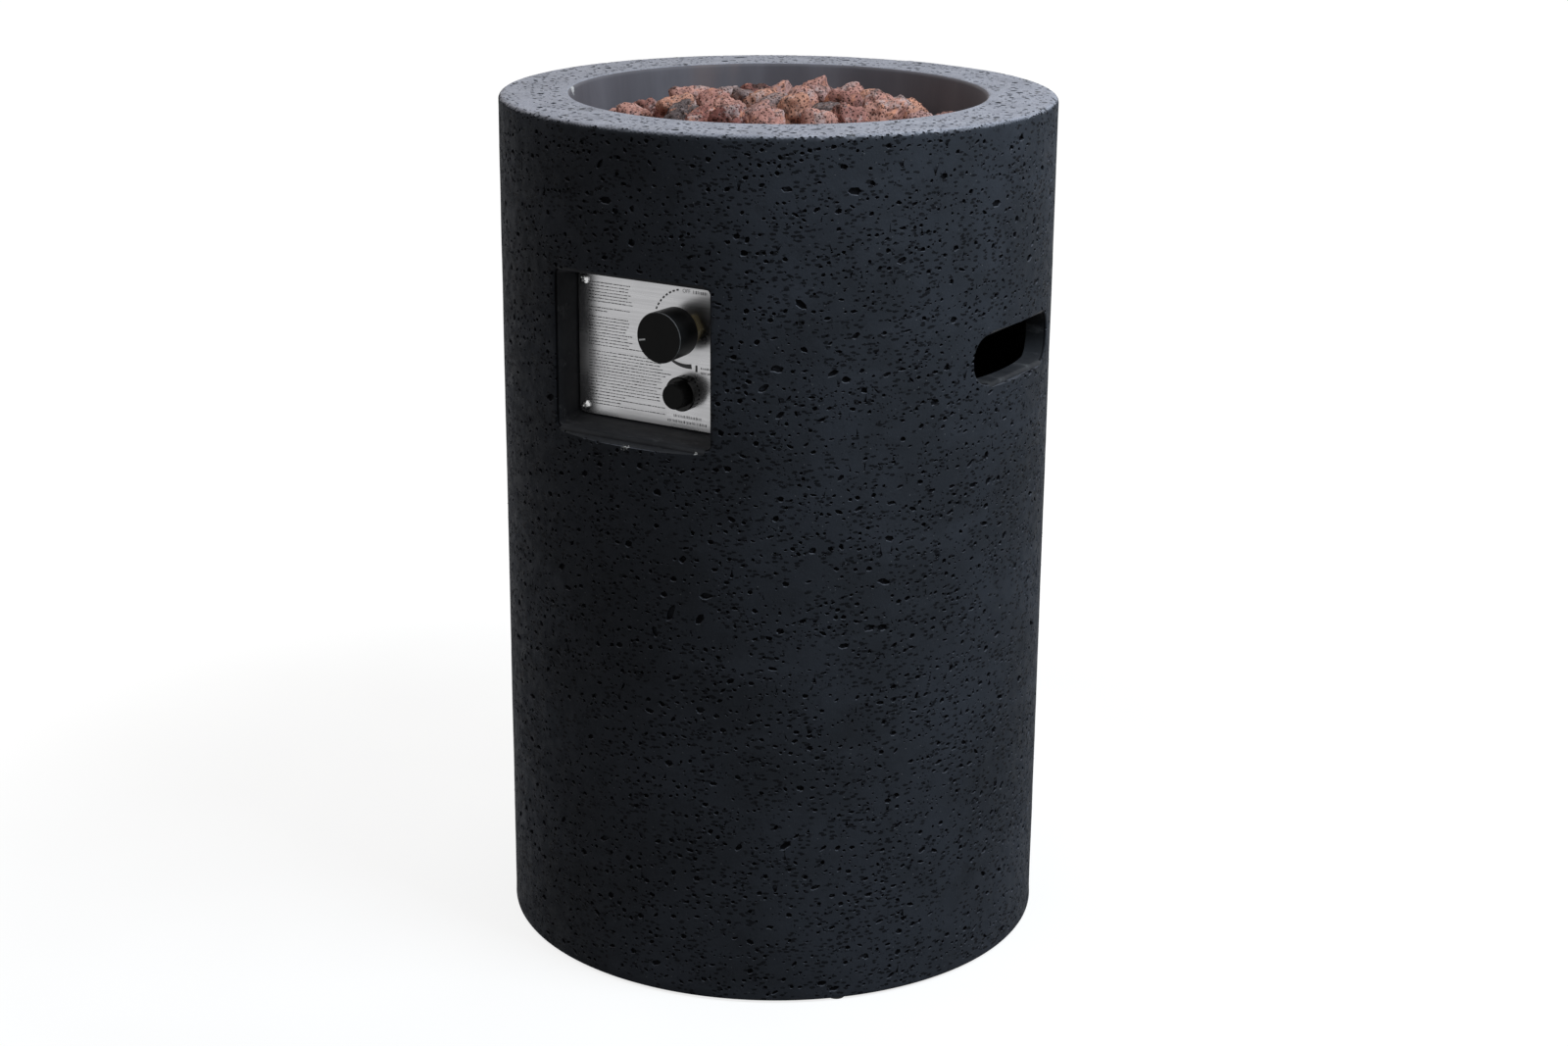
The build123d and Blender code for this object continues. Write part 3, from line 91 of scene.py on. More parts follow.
# Control panel
PLATE_Y = -165
PLATE_Z = 461.75
RECESS_ROUND = 3
RECESS_HALF_WIDTH, RECESS_HALF_HEIGHT = 61.2, 51.2
RECESS_SIDE_SLOPE, RECESS_TOP_SLOPE = 0.0414, 0.1443
RECESS_GUESS = 25
RECESS_TURNS = 4
RECESS_FLOOR_STEPS = (12, -1.5)
WINDOW_WIDTH, WINDOW_HEIGHT, WINDOW_ROUND = 92, 80, 6
WINDOW_REACH = (-1, -20)
POCKET_HALF_WIDTH, POCKET_HALF_HEIGHT = 74.65, 68.25
POCKET_FRONT_RADIUS, POCKET_DEPTH = 191, 13.5
POCKET_STEPS = 40
SLOT_LENGTH = 110
SLOT_HEIGHT = 34
SLOT_ROUND = 15
SLOT_Z = 457
NOTCH_HALF_WIDTH, NOTCH_RISE, NOTCH_LOW, NOTCH_STEPS = 22, 18, -8, 20
WALL_CUTS = (8, 26)
CUT_START = 225
CUT_OUTSIDE = -6
FLARE_ANGLES = (20, 40, 60, 80)
KNOB_X, KNOB_Z = 28.5, 482.25
# Ring round the knob's front edge for its painted highlight: across, up, radius and front
KNOB_EDGE_HIGHLIGHT = (KNOB_X, KNOB_Z, 17.5, -199)
SCREW_X, SCREW_Z = 54.8, 44.8
SCREW_RADIUS, SCREW_DOME = 3.5, 2.2
SCREW_SHANK, SCREW_LENGTH = 1.75, 11
SCREW_SIDES, SCREW_RINGS = 48, 14
SCREW_FALL = 0.62
CROSS_HALF_WIDTH, CROSS_REACH, CROSS_DEPTH = 0.55, 2.2, 1.1
SCREW_TURN, SCREW_TURN_STEP = 0.35, 0.5

# Print on the plate: rows of made-up marks, and arcs round the knob
PRINT_SEED = 21
PRINT_ROWS = 40
PRINT_TOP_Z = 505
PRINT_PITCH = 2.2
PRINT_LEFT = -52
PRINT_ENDS = (-15, 13)
PRINT_TURN_Z = 462
PRINT_TALL = 0.72
PRINT_THICK = 0.04
EMPTY_ROWS, SHORT_ROWS = 0.08, 0.25
ARC_RADIUS = 26.5
ARC_DOTS = 8
ARC_START, ARC_SWEEP = 103, 57
ARC_DASH, ARC_THICK = 4.2, 1.3
WEDGE = (236, 279, 1.4, 3.4)
MARK_BAR = (35.7, 37.4, 452.8, 457.4)
OFF_PLACE = (25.5, 506.6)
OFF_SIZE = 3.6
CAPTIONS = (
    (34, 45, 506.5, 2.4), (40, 50, 455, 1.6), (40, 48, 451.8, 1.6), (18, 40, 419, 2), (13, 45, 415.2, 2),
)

# Share of the rim's dust and painted sheen that lies on the ledges of the wall, where it paints highlights on
# the upward lips of the pits
WALL_DUST_AND_SHEEN = 0.25

# Chipped places
SILL_CHIPS = (
    ((0.5, -199, 404.4), 4.4), ((53, -191.5, 405), 1.8), ((-40, -194, 405.5), 1.6), ((-52, -186, 406), 1.4),
)
MOUTH_CHIP, MOUTH_CHIP_REACH = (-136, -64, 618), 6
CHIP_COLOUR = (0.55, 0.54, 0.52)

# Camera, fitted to the photograph
SENSOR_WIDTH = 36
LENS_SHARE = 2744 / 1600
CAMERA_AWAY = 1.928
CAMERA_HEIGHT = 0.898
CAMERA_TURN = 31.2
CAMERA_PITCH = 17.33
CAMERA_YAW = 0.19
CAMERA_ROLL = 0.46

# Stage
WORLD_LEVEL = 0.12
FLOOR_GLOW = 0.83
FLOOR_FADE = (0.35, 1.1)
FLOOR_DARK = (0.185, 0.199)
FLOOR_HALF = 12000

# Lamps: place, target, size, power and colour
LAMPS = {
    "sky": ((-0.2, 0.3, 3.0), (-0.1, 0.1, 0.4), (4.0, 4.0), 51, (1, 0.99, 0.97)),
    "right": ((1.15, -0.08, 1.35), (0, 0, 0.35), (0.8, 0.8), 17.5, (0.76, 0.89, 1)),
}

# Stones
STONE_LEVEL = 4
STONE_ROUNDING = 7
STONE_FLAT = 0.5
DENT_SIZE, DENT_SHARE, DENT_START = 13, 0.12, 0.35
KNOBBLE_SIZE, KNOBBLE_DEPTH, KNOBBLE_START, KNOBBLE_MOST = 5, 2.2, 0.15, 1.2
STONE_PITS, STONE_PIT_SIZES, STONE_PIT_DEPTH, STONE_PIT_SLOPE = 26, (0.1, 0.24), 1.9, 1.8
DEEPEST_SHARE = 0.45

# Springs, each with its node and the joint that presses it
SPRINGS = (
    ("knob_coil", "knob_return_spring", "knob_push"), ("igniter_coil", "igniter_spring", "igniter_press"),
)


def new_piece(name, points, faces, body, slot, materials, smooth=True):
    """Mesh piece from points in millimetres, riding on a body."""
    mesh = bpy.data.meshes.new(name)
    mesh.from_pydata([tuple(p) for p in np.asarray(points, float) * MM], [], faces)
    mesh.validate()
    piece = bpy.data.objects.new(name, mesh)
    SCENE.collection.objects.link(piece)
    for material in materials:
        mesh.materials.append(material)
    if smooth:
        mesh.shade_smooth()
    if body:
        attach(piece, body)
    return piece


def make_camera():
    turn, pitch = math.radians(CAMERA_TURN), math.radians(CAMERA_PITCH)
    yaw, roll = math.radians(CAMERA_YAW), math.radians(CAMERA_ROLL)
    ahead = Vector((math.sin(yaw) * math.cos(pitch), math.cos(yaw) * math.cos(pitch), -math.sin(pitch)))
    right = Vector((math.cos(yaw), -math.sin(yaw), 0))
    up = right.cross(ahead)
    tilted = right * math.cos(roll) + up * math.sin(roll)
    upright = up * math.cos(roll) - right * math.sin(roll)
    place = Matrix.Translation((0, -CAMERA_AWAY, CAMERA_HEIGHT))
    place @= Matrix((tilted, upright, -ahead)).transposed().to_4x4()
    data = bpy.data.cameras.new("camera")
    data.sensor_width = SENSOR_WIDTH
    data.lens = SENSOR_WIDTH * LENS_SHARE
    camera = bpy.data.objects.new("camera", data)
    camera.matrix_world = Matrix.Rotation(turn, 4, "Z") @ place
    SCENE.collection.objects.link(camera)
    SCENE.camera = camera


# Materials


class Nodes:
    """Node tree of one material, with short calls for what the materials share."""

    def __init__(self, name):
        self.material = bpy.data.materials.new(name)
        self.material.use_nodes = True
        self.tree = self.material.node_tree
        self.shader = self.tree.nodes["Principled BSDF"]
        self.place = self.add("ShaderNodeTexCoord").outputs["Object"]

    def add(self, kind, **values):
        node = self.tree.nodes.new(kind)
        for key, value in values.items():
            setattr(node, key, value)
        return node

    def link(self, source, target):
        if isinstance(source, (int, float)):
            target.default_value = source
        elif isinstance(source, tuple):
            target.default_value = (*source, 1)[: len(target.default_value)]
        else:
            self.tree.links.new(source, target)

    def noise(self, scale, detail=4, rough=0.6, stretch=None, warp=0):
        node = self.add("ShaderNodeTexNoise")
        node.inputs["Scale"].default_value = scale
        node.inputs["Detail"].default_value = detail
        node.inputs["Roughness"].default_value = rough
        node.inputs["Distortion"].default_value = warp
        self.link(self.stretched(stretch), node.inputs["Vector"])
        return node.outputs["Fac"]

    def stretched(self, stretch):
        if not stretch:
            return self.place
        node = self.add("ShaderNodeMapping")
        node.inputs["Scale"].default_value = stretch
        self.link(self.place, node.inputs["Vector"])
        return node.outputs["Vector"]

    def cells(self, scale, feature="F1", stretch=None):
        node = self.add("ShaderNodeTexVoronoi", feature=feature)
        node.inputs["Scale"].default_value = scale
        self.link(self.stretched(stretch), node.inputs["Vector"])
        return node.outputs["Distance"]

    def ramp(self, value, low, high, start=0.0, end=1.0):
        node = self.add("ShaderNodeMapRange", interpolation_type="SMOOTHSTEP")
        self.link(value, node.inputs["Value"])
        node.inputs["From Min"].default_value = low
        node.inputs["From Max"].default_value = high
        node.inputs["To Min"].default_value = start
        node.inputs["To Max"].default_value = end
        return node.outputs["Result"]

    def math(self, kind, a, b):
        node = self.add("ShaderNodeMath", operation=kind)
        self.link(a, node.inputs[0])
        self.link(b, node.inputs[1])
        return node.outputs[0]

    def mix(self, share, a, b, blend="MIX"):
        node = self.add("ShaderNodeMix", data_type="RGBA", blend_type=blend)
        self.link(share, node.inputs["Factor"])
        self.link(a, node.inputs["A"])
        self.link(b, node.inputs["B"])
        return node.outputs["Result"]

    def spot(self, place, reach):
        """1 near a place given in millimetres, with a ragged edge."""
        away = self.add("ShaderNodeVectorMath", operation="DISTANCE")
        self.link(self.place, away.inputs[0])
        away.inputs[1].default_value = Vector(place) * MM
        shift = self.ramp(self.noise(420, 3, 0.7), 0.3, 0.7, 0, reach * MM)
        ragged = self.math("ADD", away.outputs["Value"], shift)
        return self.ramp(ragged, reach * MM, 1.25 * reach * MM, 1, 0)

    def chipped(self, colour):
        """Pale chips along the sill of the recess."""
        for place, reach in SILL_CHIPS:
            colour = self.mix(self.spot(place, reach), colour, CHIP_COLOUR)
        return colour

    def front_edge_highlight(self, x, z, radius, front):
        """1 on a thin and broken ring round the edge of a turned front that faces -Y, where a painted
        highlight goes.
        """
        away = self.add("ShaderNodeVectorMath", operation="DISTANCE")
        self.link(self.stretched((1, 0, 1)), away.inputs[0])
        away.inputs[1].default_value = Vector((x, 0, z)) * MM
        ring = self.ramp(away.outputs["Value"], (radius - 0.6) * MM, (radius - 0.45) * MM)
        near = self.ramp(self.part("Y"), (front + 0.55) * MM, (front + 0.75) * MM, 1, 0)
        # Noise breaks up the painted highlight line
        highlight_breaks = self.ramp(self.noise(160, 3), 0.3, 0.6, 0.5, 1)
        return self.math("MULTIPLY", self.math("MULTIPLY", ring, near), highlight_breaks)

    def attribute(self, name):
        return self.add("ShaderNodeAttribute", attribute_name=name).outputs["Fac"]

    def part(self, kind):
        """One coordinate of the place on the object, in metres."""
        node = self.add("ShaderNodeSeparateXYZ")
        self.link(self.place, node.inputs[0])
        return node.outputs[kind]

    def bump(self, *layers):
        """Bump from (height, strength, distance) layers."""
        normal = None
        for height, strength, distance in layers:
            node = self.add("ShaderNodeBump")
            node.inputs["Strength"].default_value = strength
            node.inputs["Distance"].default_value = distance * MM
            self.link(height, node.inputs["Height"])
            if normal:
                self.link(normal, node.inputs["Normal"])
            normal = node.outputs["Normal"]
        self.link(normal, self.shader.inputs["Normal"])

    def set(self, **values):
        for key, value in values.items():
            self.link(value, self.shader.inputs[key.replace("_", " ")])
        return self.material


def concrete_material(name, specular, closed):
    """Anthracite cast concrete: mottled and gritty, lighter and bluer where it faces up (partly dust, partly
    painted sheen and painted highlights), and black in its pits and pores as painted shade.
    """
    n = Nodes(name)
    mottle = n.noise(9, 5, 0.62)
    colour = n.mix(n.ramp(mottle, 0.3, 0.72), (0.029, 0.031, 0.036), (0.043, 0.047, 0.057))
    streak = n.noise(14, 3, 0.5, stretch=(1, 1, 3.2))
    colour = n.mix(n.ramp(streak, 0.52, 0.75, 0, 0.3), colour, (0.058, 0.063, 0.076))
    cloud = n.noise(65, 4, 0.7)
    colour = n.mix(n.ramp(cloud, 0.55, 0.75, 0, 0.45), colour, (0.02, 0.021, 0.024))
    grain = n.noise(900, 2, 0.7)
    colour = n.mix(n.ramp(grain, 0.6, 0.8, 0, 0.4), colour, (0.11, 0.115, 0.128))
    specks = n.cells(150)
    colour = n.mix(n.ramp(specks, 0.04, 0.08, 0.5, 0), colour, (0.2, 0.2, 0.205))
    pores = n.cells(330)
    open_pores = n.ramp(n.noise(60, 2), closed + 0.08, closed + 0.18)
    pore_shade_mask = n.math("MULTIPLY", n.ramp(pores, 0.16, 0.3, 1, 0), open_pores)
    ragged = n.ramp(n.noise(480, 3, 0.7), 0.3, 0.7, -0.1, 0.1)
    dashes = n.math("ADD", n.cells(165, stretch=(1, 1, 2.2)), ragged)
    open_dashes = n.ramp(n.noise(45, 2), closed, closed + 0.08)
    dash_shade_mask = n.math("MULTIPLY", n.ramp(dashes, 0.3, 0.36, 1, 0), open_dashes)
    pore_shade_mask = n.math("MAXIMUM", pore_shade_mask, dash_shade_mask)
    up = n.add("ShaderNodeSeparateXYZ")
    n.link(n.add("ShaderNodeNewGeometry").outputs["True Normal"], up.inputs[0])
    # Dust and painted sheen: faces that point up get a lighter, bluer colour, partly settled dust and partly
    # painted sky sheen on the rim and painted highlights on the upward lips of the pits
    dust_and_sheen_spread = n.ramp(n.noise(40, 4), 0.25, 0.7, 0.72, 1)
    rim_low, rim_high = COLUMN_TOP - RIM_ROUND, COLUMN_TOP - 0.3 * RIM_ROUND
    # The rim top takes the full dust and painted sheen, the wall below only a share of it
    edge = n.ramp(n.part("Z"), rim_low * MM, rim_high * MM, WALL_DUST_AND_SHEEN, 1)
    dust_and_sheen_spread = n.math("MULTIPLY", dust_and_sheen_spread, edge)
    dust_and_sheen = n.math("MULTIPLY", n.ramp(up.outputs["Z"], 0.3, 0.95), dust_and_sheen_spread)
    dust_and_sheen_colour = n.mix(n.ramp(grain, 0.35, 0.75), (0.25, 0.253, 0.292), (0.42, 0.424, 0.485))
    dust_and_sheen_colour = n.mix(n.ramp(n.noise(150, 4, 0.75), 0.5, 0.72, 0, 0.3), dust_and_sheen_colour, (0.16, 0.162, 0.185))
    colour = n.mix(dust_and_sheen, colour, dust_and_sheen_colour)
    # Painted shade: pores and dashes are painted near black, for the shade inside them
    colour = n.mix(n.math("MULTIPLY", pore_shade_mask, 0.82), colour, (0.006, 0.006, 0.007))
    # Painted shade: the cast pits go near black with the pit attribute
    colour = n.mix(n.ramp(n.attribute("pit"), 0.2, 0.8, 0, 0.95), colour, (0.004, 0.004, 0.005))
    colour = n.chipped(colour)
    n.bump((n.noise(420, 4, 0.7), 0.5, 0.5), (pore_shade_mask, 0.6, -0.5), (n.noise(55, 3), 0.35, 1.2))
    rough = n.ramp(n.noise(120, 3), 0.3, 0.7, 0.6, 0.8)
    return n.set(Base_Color=colour, Roughness=rough, Specular_IOR_Level=specular)


def well_material():
    """Smooth brownish grey wall of the fire well, with run marks and one chipped place at the mouth."""
    n = Nodes("well_wall")
    runs = n.noise(26, 4, 0.6, stretch=(1, 1, 0.12))
    colour = n.mix(n.ramp(runs, 0.3, 0.7), (0.1, 0.094, 0.106), (0.142, 0.135, 0.151))
    stain = n.noise(11, 4, 0.6)
    colour = n.mix(n.ramp(stain, 0.55, 0.75, 0, 0.45), colour, (0.082, 0.077, 0.086))
    rust = n.noise(18, 3, 0.5, stretch=(1, 1, 0.4))
    colour = n.mix(n.ramp(rust, 0.62, 0.8, 0, 0.55), colour, (0.18, 0.137, 0.132))
    colour = n.mix(n.spot(MOUTH_CHIP, MOUTH_CHIP_REACH), colour, (0.62, 0.61, 0.6))
    n.bump((n.noise(160, 4, 0.65, stretch=(1, 1, 0.3)), 0.3, 0.4), (n.noise(30, 2), 0.3, 0.8))
    rough = n.ramp(runs, 0.3, 0.7, 0.5, 0.7)
    return n.set(Base_Color=colour, Roughness=rough, Specular_IOR_Level=0.2)


def recess_material():
    """Dark, smoother paint in the control recess and hand slots, chipped along the sill."""
    n = Nodes("recess_paint")
    mottle = n.noise(24, 4, 0.6)
    colour = n.mix(n.ramp(mottle, 0.3, 0.7), (0.021, 0.022, 0.025), (0.037, 0.038, 0.042))
    scuffs = n.noise(70, 5, 0.7, stretch=(0.35, 1, 1))
    colour = n.mix(n.ramp(scuffs, 0.56, 0.72, 0, 0.7), colour, (0.1, 0.101, 0.105))
    colour = n.chipped(colour)
    n.bump((n.noise(300, 4, 0.65), 0.35, 0.3), (n.noise(40, 3), 0.4, 0.8))
    rough = n.ramp(scuffs, 0.3, 0.7, 0.45, 0.65)
    return n.set(Base_Color=colour, Roughness=rough, Specular_IOR_Level=0.1)


def lava_material():
    """Porous lava, from salmon and tan to red brown and grey, another mix on every stone, with painted shade
    in its pores and pits.
    """
    n = Nodes("lava")
    tint = n.attribute("stone")
    colour = n.mix(n.ramp(tint, 0.0, 0.25), (0.3, 0.13, 0.105), (0.62, 0.36, 0.29))
    colour = n.mix(n.ramp(tint, 0.3, 0.5), colour, (0.68, 0.38, 0.26))
    colour = n.mix(n.ramp(tint, 0.55, 0.64), colour, (0.5, 0.32, 0.275))
    colour = n.mix(n.ramp(tint, 0.74, 0.82), colour, (0.38, 0.31, 0.285))
    colour = n.mix(n.ramp(tint, 0.93, 0.97), colour, (0.15, 0.132, 0.126))
    patches = n.noise(75, 5, 0.7)
    colour = n.mix(n.ramp(patches, 0.52, 0.64, 0, 0.75), colour, (0.62, 0.54, 0.5))
    rust = n.noise(110, 4, 0.65, stretch=(1.3, 0.8, 1))
    colour = n.mix(n.ramp(rust, 0.55, 0.68, 0, 0.75), colour, (0.78, 0.38, 0.22))
    soot = n.noise(60, 4, 0.6, stretch=(0.8, 1.2, 1))
    colour = n.mix(n.ramp(soot, 0.55, 0.68, 0, 0.8), colour, (0.05, 0.04, 0.037))
    pores = n.cells(430)
    fine = n.cells(820)
    holes = n.math("MAXIMUM", n.ramp(pores, 0.2, 0.42, 1, 0), n.ramp(fine, 0.15, 0.34, 0.7, 0))
    # Painted shade: the pores are painted dark, for the shade inside them
    colour = n.mix(n.math("MULTIPLY", holes, 0.8), colour, (0.045, 0.031, 0.027))
    grain = n.noise(1500, 3, 0.7)
    colour = n.mix(n.ramp(grain, 0.58, 0.75, 0, 0.4), colour, (0.66, 0.53, 0.46))
    # Painted shade in the stones' pits and sunk places, from the pit attribute
    hollow_shade = n.attribute("pit")
    colour = n.mix(n.ramp(hollow_shade, 0.3, 1.0, 0, 0.75), colour, (0.045, 0.031, 0.027))
    colour = n.mix(1, colour, (0.86, 0.77, 0.8), "MULTIPLY")
    n.bump((holes, 0.9, -1.0), (grain, 0.5, 0.35), (n.noise(260, 4, 0.7), 0.6, 0.9))
    return n.set(Base_Color=colour, Roughness=0.92, Specular_IOR_Level=0.12)


def steel_material(name, tone, rough, stretch, metallic=1.0):
    """Metal with drawn or brushed lines along one way."""
    n = Nodes(name)
    lines = n.noise(900, 3, 0.7, stretch=stretch)
    smear = n.noise(22, 3, 0.6)
    dark = tuple(0.86 * c for c in tone)
    colour = n.mix(n.ramp(lines, 0.3, 0.7), dark, tone)
    colour = n.mix(n.ramp(smear, 0.45, 0.75, 0, 0.22), colour, tuple(0.8 * c for c in tone))
    n.bump((lines, 0.08, 0.05))
    rough_map = n.ramp(smear, 0.3, 0.7, rough - 0.05, rough + 0.07)
    return n.set(Base_Color=colour, Roughness=rough_map, Metallic=metallic)


def plastic_material(name, tone, rough, grain, specular, edge=None):
    """Moulded plastic with a fine grain and light handling marks; an edge, when given, gets a painted
    highlight ring.
    """
    n = Nodes(name)
    marks = n.noise(45, 4, 0.6)
    colour = n.mix(n.ramp(marks, 0.35, 0.75), tone, tuple(1.5 * c + 0.002 for c in tone))
    if edge:
        # Painted highlight: a lighter grey ring on the front edge, for light caught by the chamfer
        colour = n.mix(n.front_edge_highlight(*edge), colour, (0.14, 0.14, 0.14))
    n.bump((n.noise(1400, 2, 0.6), grain, 0.08))
    rough_map = n.ramp(marks, 0.3, 0.7, rough - 0.05, rough + 0.08)
    return n.set(Base_Color=colour, Roughness=rough_map, Specular_IOR_Level=specular)


def soft_material(name, tone, rough):
    """Rubber, silicone, ceramic and paint: a mottled matt surface."""
    n = Nodes(name)
    mottle = n.noise(120, 4, 0.6)
    colour = n.mix(n.ramp(mottle, 0.3, 0.7), tuple(0.8 * c for c in tone), tone)
    n.bump((n.noise(700, 3, 0.6), 0.25, 0.15))
    return n.set(Base_Color=colour, Roughness=rough)


CONCRETE = concrete_material("concrete", 0.03, 0.42)
RIM = concrete_material("rim_concrete", 0.25, 0.53)
WELL = well_material()
RECESS = recess_material()
LAVA = lava_material()
PLATE = steel_material("plate_steel", (0.45, 0.45, 0.46), 0.27, (0.02, 1, 1))
STAINLESS = steel_material("stainless", (0.5, 0.49, 0.47), 0.38, (1, 0.05, 1))
SCREW = steel_material("screw_steel", (0.62, 0.62, 0.62), 0.24, (1, 1, 0.1))
SPRING = steel_material("spring_steel", (0.45, 0.45, 0.46), 0.3, (1, 0.1, 1))
ALLOY = steel_material("valve_alloy", (0.6, 0.6, 0.61), 0.45, (1, 1, 1))
BRASS = steel_material("brass", (0.62, 0.42, 0.15), 0.3, (1, 1, 0.2))
# Brass at about a quarter of the plain brass tone
DARK_BRASS = steel_material("dark_brass", (0.17, 0.14, 0.075), 0.36, (1, 1, 0.2))
COPPER = steel_material("copper", (0.68, 0.33, 0.2), 0.32, (1, 0.2, 1))
KNOB = plastic_material("knob_plastic", (0.005, 0.005, 0.005), 0.34, 0.12, 0.06, KNOB_EDGE_HIGHLIGHT)
COLLAR = plastic_material("collar_plastic", (0.005, 0.005, 0.005), 0.13, 0.03, 0.16)
BUTTON = plastic_material("button_plastic", (0.009, 0.009, 0.009), 0.5, 0.18, 0.06)
WHITE = soft_material("pointer_white", (0.95, 0.95, 0.95), 0.5)
RUBBER = soft_material("rubber", (0.02, 0.02, 0.02), 0.8)
CERAMIC = soft_material("insulator_ceramic", (0.8, 0.78, 0.72), 0.6)
SILICONE = soft_material("lead_silicone", (0.42, 0.42, 0.4), 0.6)
BATTERY = soft_material("battery_case", (0.35, 0.36, 0.38), 0.4)
INK = soft_material("print_ink", (0.02, 0.02, 0.022), 0.6)
FAINT_INK = soft_material("faint_ink", (0.1, 0.1, 0.105), 0.6)


def dress_nodes():
    """Every solid that stays gets the material of its slot."""
    by_slot = {
        "concrete": CONCRETE, "rubber": RUBBER, "stainless": STAINLESS, "screw_steel": SCREW,
        "spring_steel": SPRING, "valve_alloy": ALLOY, "brass": BRASS, "copper": COPPER,
        "knob_plastic": KNOB, "pointer_white": WHITE, "collar_plastic": COLLAR, "button_plastic": BUTTON,
        "insulator_ceramic": CERAMIC, "lead_silicone": SILICONE, "battery_case": BATTERY, "lava": LAVA,
    }
    for part in frame["record"]["subparts"]:
        node = frame["nodes"][part["node"]]
        node.data.materials.clear()
        node.data.materials.append(by_slot[part["material_slot"]])
    frame["nodes"]["control_plate"].data.materials[0] = PLATE
    # The lock nut behind the knob takes the darkened brass
    frame["nodes"]["valve_lock_nut"].data.materials[0] = DARK_BRASS


# Column shell

WALL_LENGTH = COLUMN_TOP - RIM_ROUND - COLUMN_FOOT - BASE_ROUND
ARC_LENGTH = RIM_ROUND * math.pi / 2
RIM_FLAT = COLUMN_RADIUS - RIM_ROUND - MOUTH_RADIUS - MOUTH_ROUND
SKIN_WIDTH = 2 * math.pi * COLUMN_RADIUS
SKIN_LENGTH = WALL_LENGTH + ARC_LENGTH + RIM_FLAT
PIT_SHARE = 0.0145
PIT_SEED = 5
PIT_KINDS = ((0.36, 0.7, 1.1, 6), (0.8, 1.1, 1.7, 8), (0.96, 1.7, 2.4, 10), (1, 2.4, 3.2, 12))
PIT_DEEPEST = 2.4
ARC_PIT = 1.1
PIT_STEPS = ((0.82, 0.78), (0.45, 0.95))
PIT_SPACE = 0.4
PIT_CELL = 10
CHAIN_SHARE = 0.16
CHAIN_LENGTH = 5
CHAIN_STEP = (3, 6)
SLANT = 0.16
PIT_LIFT = 0.12
STEPPED_SIZE = 1.7
SKIN_GRID = 6
FINE_GRID = 3
SKIN_GAP = 1.3
ARC_ROWS = 8
PIT_SHADE = (0.55, 1.0)
PIT_MOST = 2.6
SKIN_MERGE = 2e-6
TOOL_MERGE = 1e-7
WELL_ROWS = (0.08, 1, 12)
INNER_ROWS = (560, 60, 11)
WELL_PAINT, RECESS_PAINT, RIM_PAINT = 1, 2, 3
PAINT_BACK = 150
RECESS_PAINT_HALVES = (67, 61)
SLOT_PAINT_HALVES = (60, 21)
WELL_PAINT_EDGE = 1.2
SHELL_SHARP = 38


def skin_point(u, v, h):
    """Place on the skin: u round the column from the back, v up the wall and over the rim, h outwards."""
    angle = math.pi / 2 + u / COLUMN_RADIUS
    if v <= WALL_LENGTH:
        radius, z = COLUMN_RADIUS + h, COLUMN_FOOT + BASE_ROUND + v
    elif v <= WALL_LENGTH + ARC_LENGTH:
        turn = (v - WALL_LENGTH) / RIM_ROUND
        radius = COLUMN_RADIUS - RIM_ROUND + (RIM_ROUND + h) * math.cos(turn)
        z = COLUMN_TOP - RIM_ROUND + (RIM_ROUND + h) * math.sin(turn)
    else:
        radius, z = COLUMN_RADIUS - RIM_ROUND - (v - WALL_LENGTH - ARC_LENGTH), COLUMN_TOP + h
    return radius * math.cos(angle), radius * math.sin(angle), z


def skin_level(u, v):
    """Gentle unevenness of the skin, never proud of the true cylinder."""
    waves = 1 + noise.noise(Vector((u / 45, v / 45, 1)))
    ripples = 1 + noise.noise(Vector((u / 9, v / 9, 4)))
    return -0.2 * waves - 0.07 * ripples


class Pit:
    """One air hole in the skin: its middle, its outline as steps from there, and its depth."""

    def __init__(self, u, v, size, long, turn, angles, shares, depth):
        self.u, self.v, self.size, self.depth = u, v, size, depth
        self.reach = size * long
        self.outline = []
        for angle, share in zip(angles, shares):
            x, y = size * share * long * math.cos(angle), size * share * math.sin(angle)
            a = x * math.cos(turn) - y * math.sin(turn)
            b = x * math.sin(turn) + y * math.cos(turn)
            self.outline.append((a, b))

    def fits(self, buckets):
        margin = self.reach + 1
        if not margin < self.u < SKIN_WIDTH - margin or not margin < self.v < SKIN_LENGTH - margin:
            return False
        a, b = self.key()
        near = [p for i in (-1, 0, 1) for j in (-1, 0, 1) for p in buckets.get((a + i, b + j), ())]
        return all(math.hypot(self.u - p.u, self.v - p.v) > self.reach + p.reach + PIT_SPACE for p in near)

    def key(self):
        return int(self.u / PIT_CELL), int(self.v / PIT_CELL)


def small_pit(rng, u, v):
    """Pit of a random kind; only small ones sit on the rim's round edge."""
    kind = rng.random()
    low, high, corners = next(k[1:] for k in PIT_KINDS if kind <= k[0])
    size = rng.uniform(low, high)
    if abs(v - WALL_LENGTH - ARC_LENGTH / 2) < ARC_LENGTH:
        size = min(size, ARC_PIT)
    long = rng.uniform(1, 1.4) + (rng.uniform(0.3, 1.3) if rng.random() < 0.3 else 0)
    turn = rng.normal(SLANT, 0.45)
    angles = 2 * math.pi * (np.arange(corners) + rng.uniform(-0.25, 0.25, corners)) / corners
    depth = min(PIT_DEEPEST, size * rng.uniform(0.9, 1.4) + 0.2)
    return Pit(u, v, size, long, turn, angles, rng.uniform(0.68, 1.0, corners), depth)


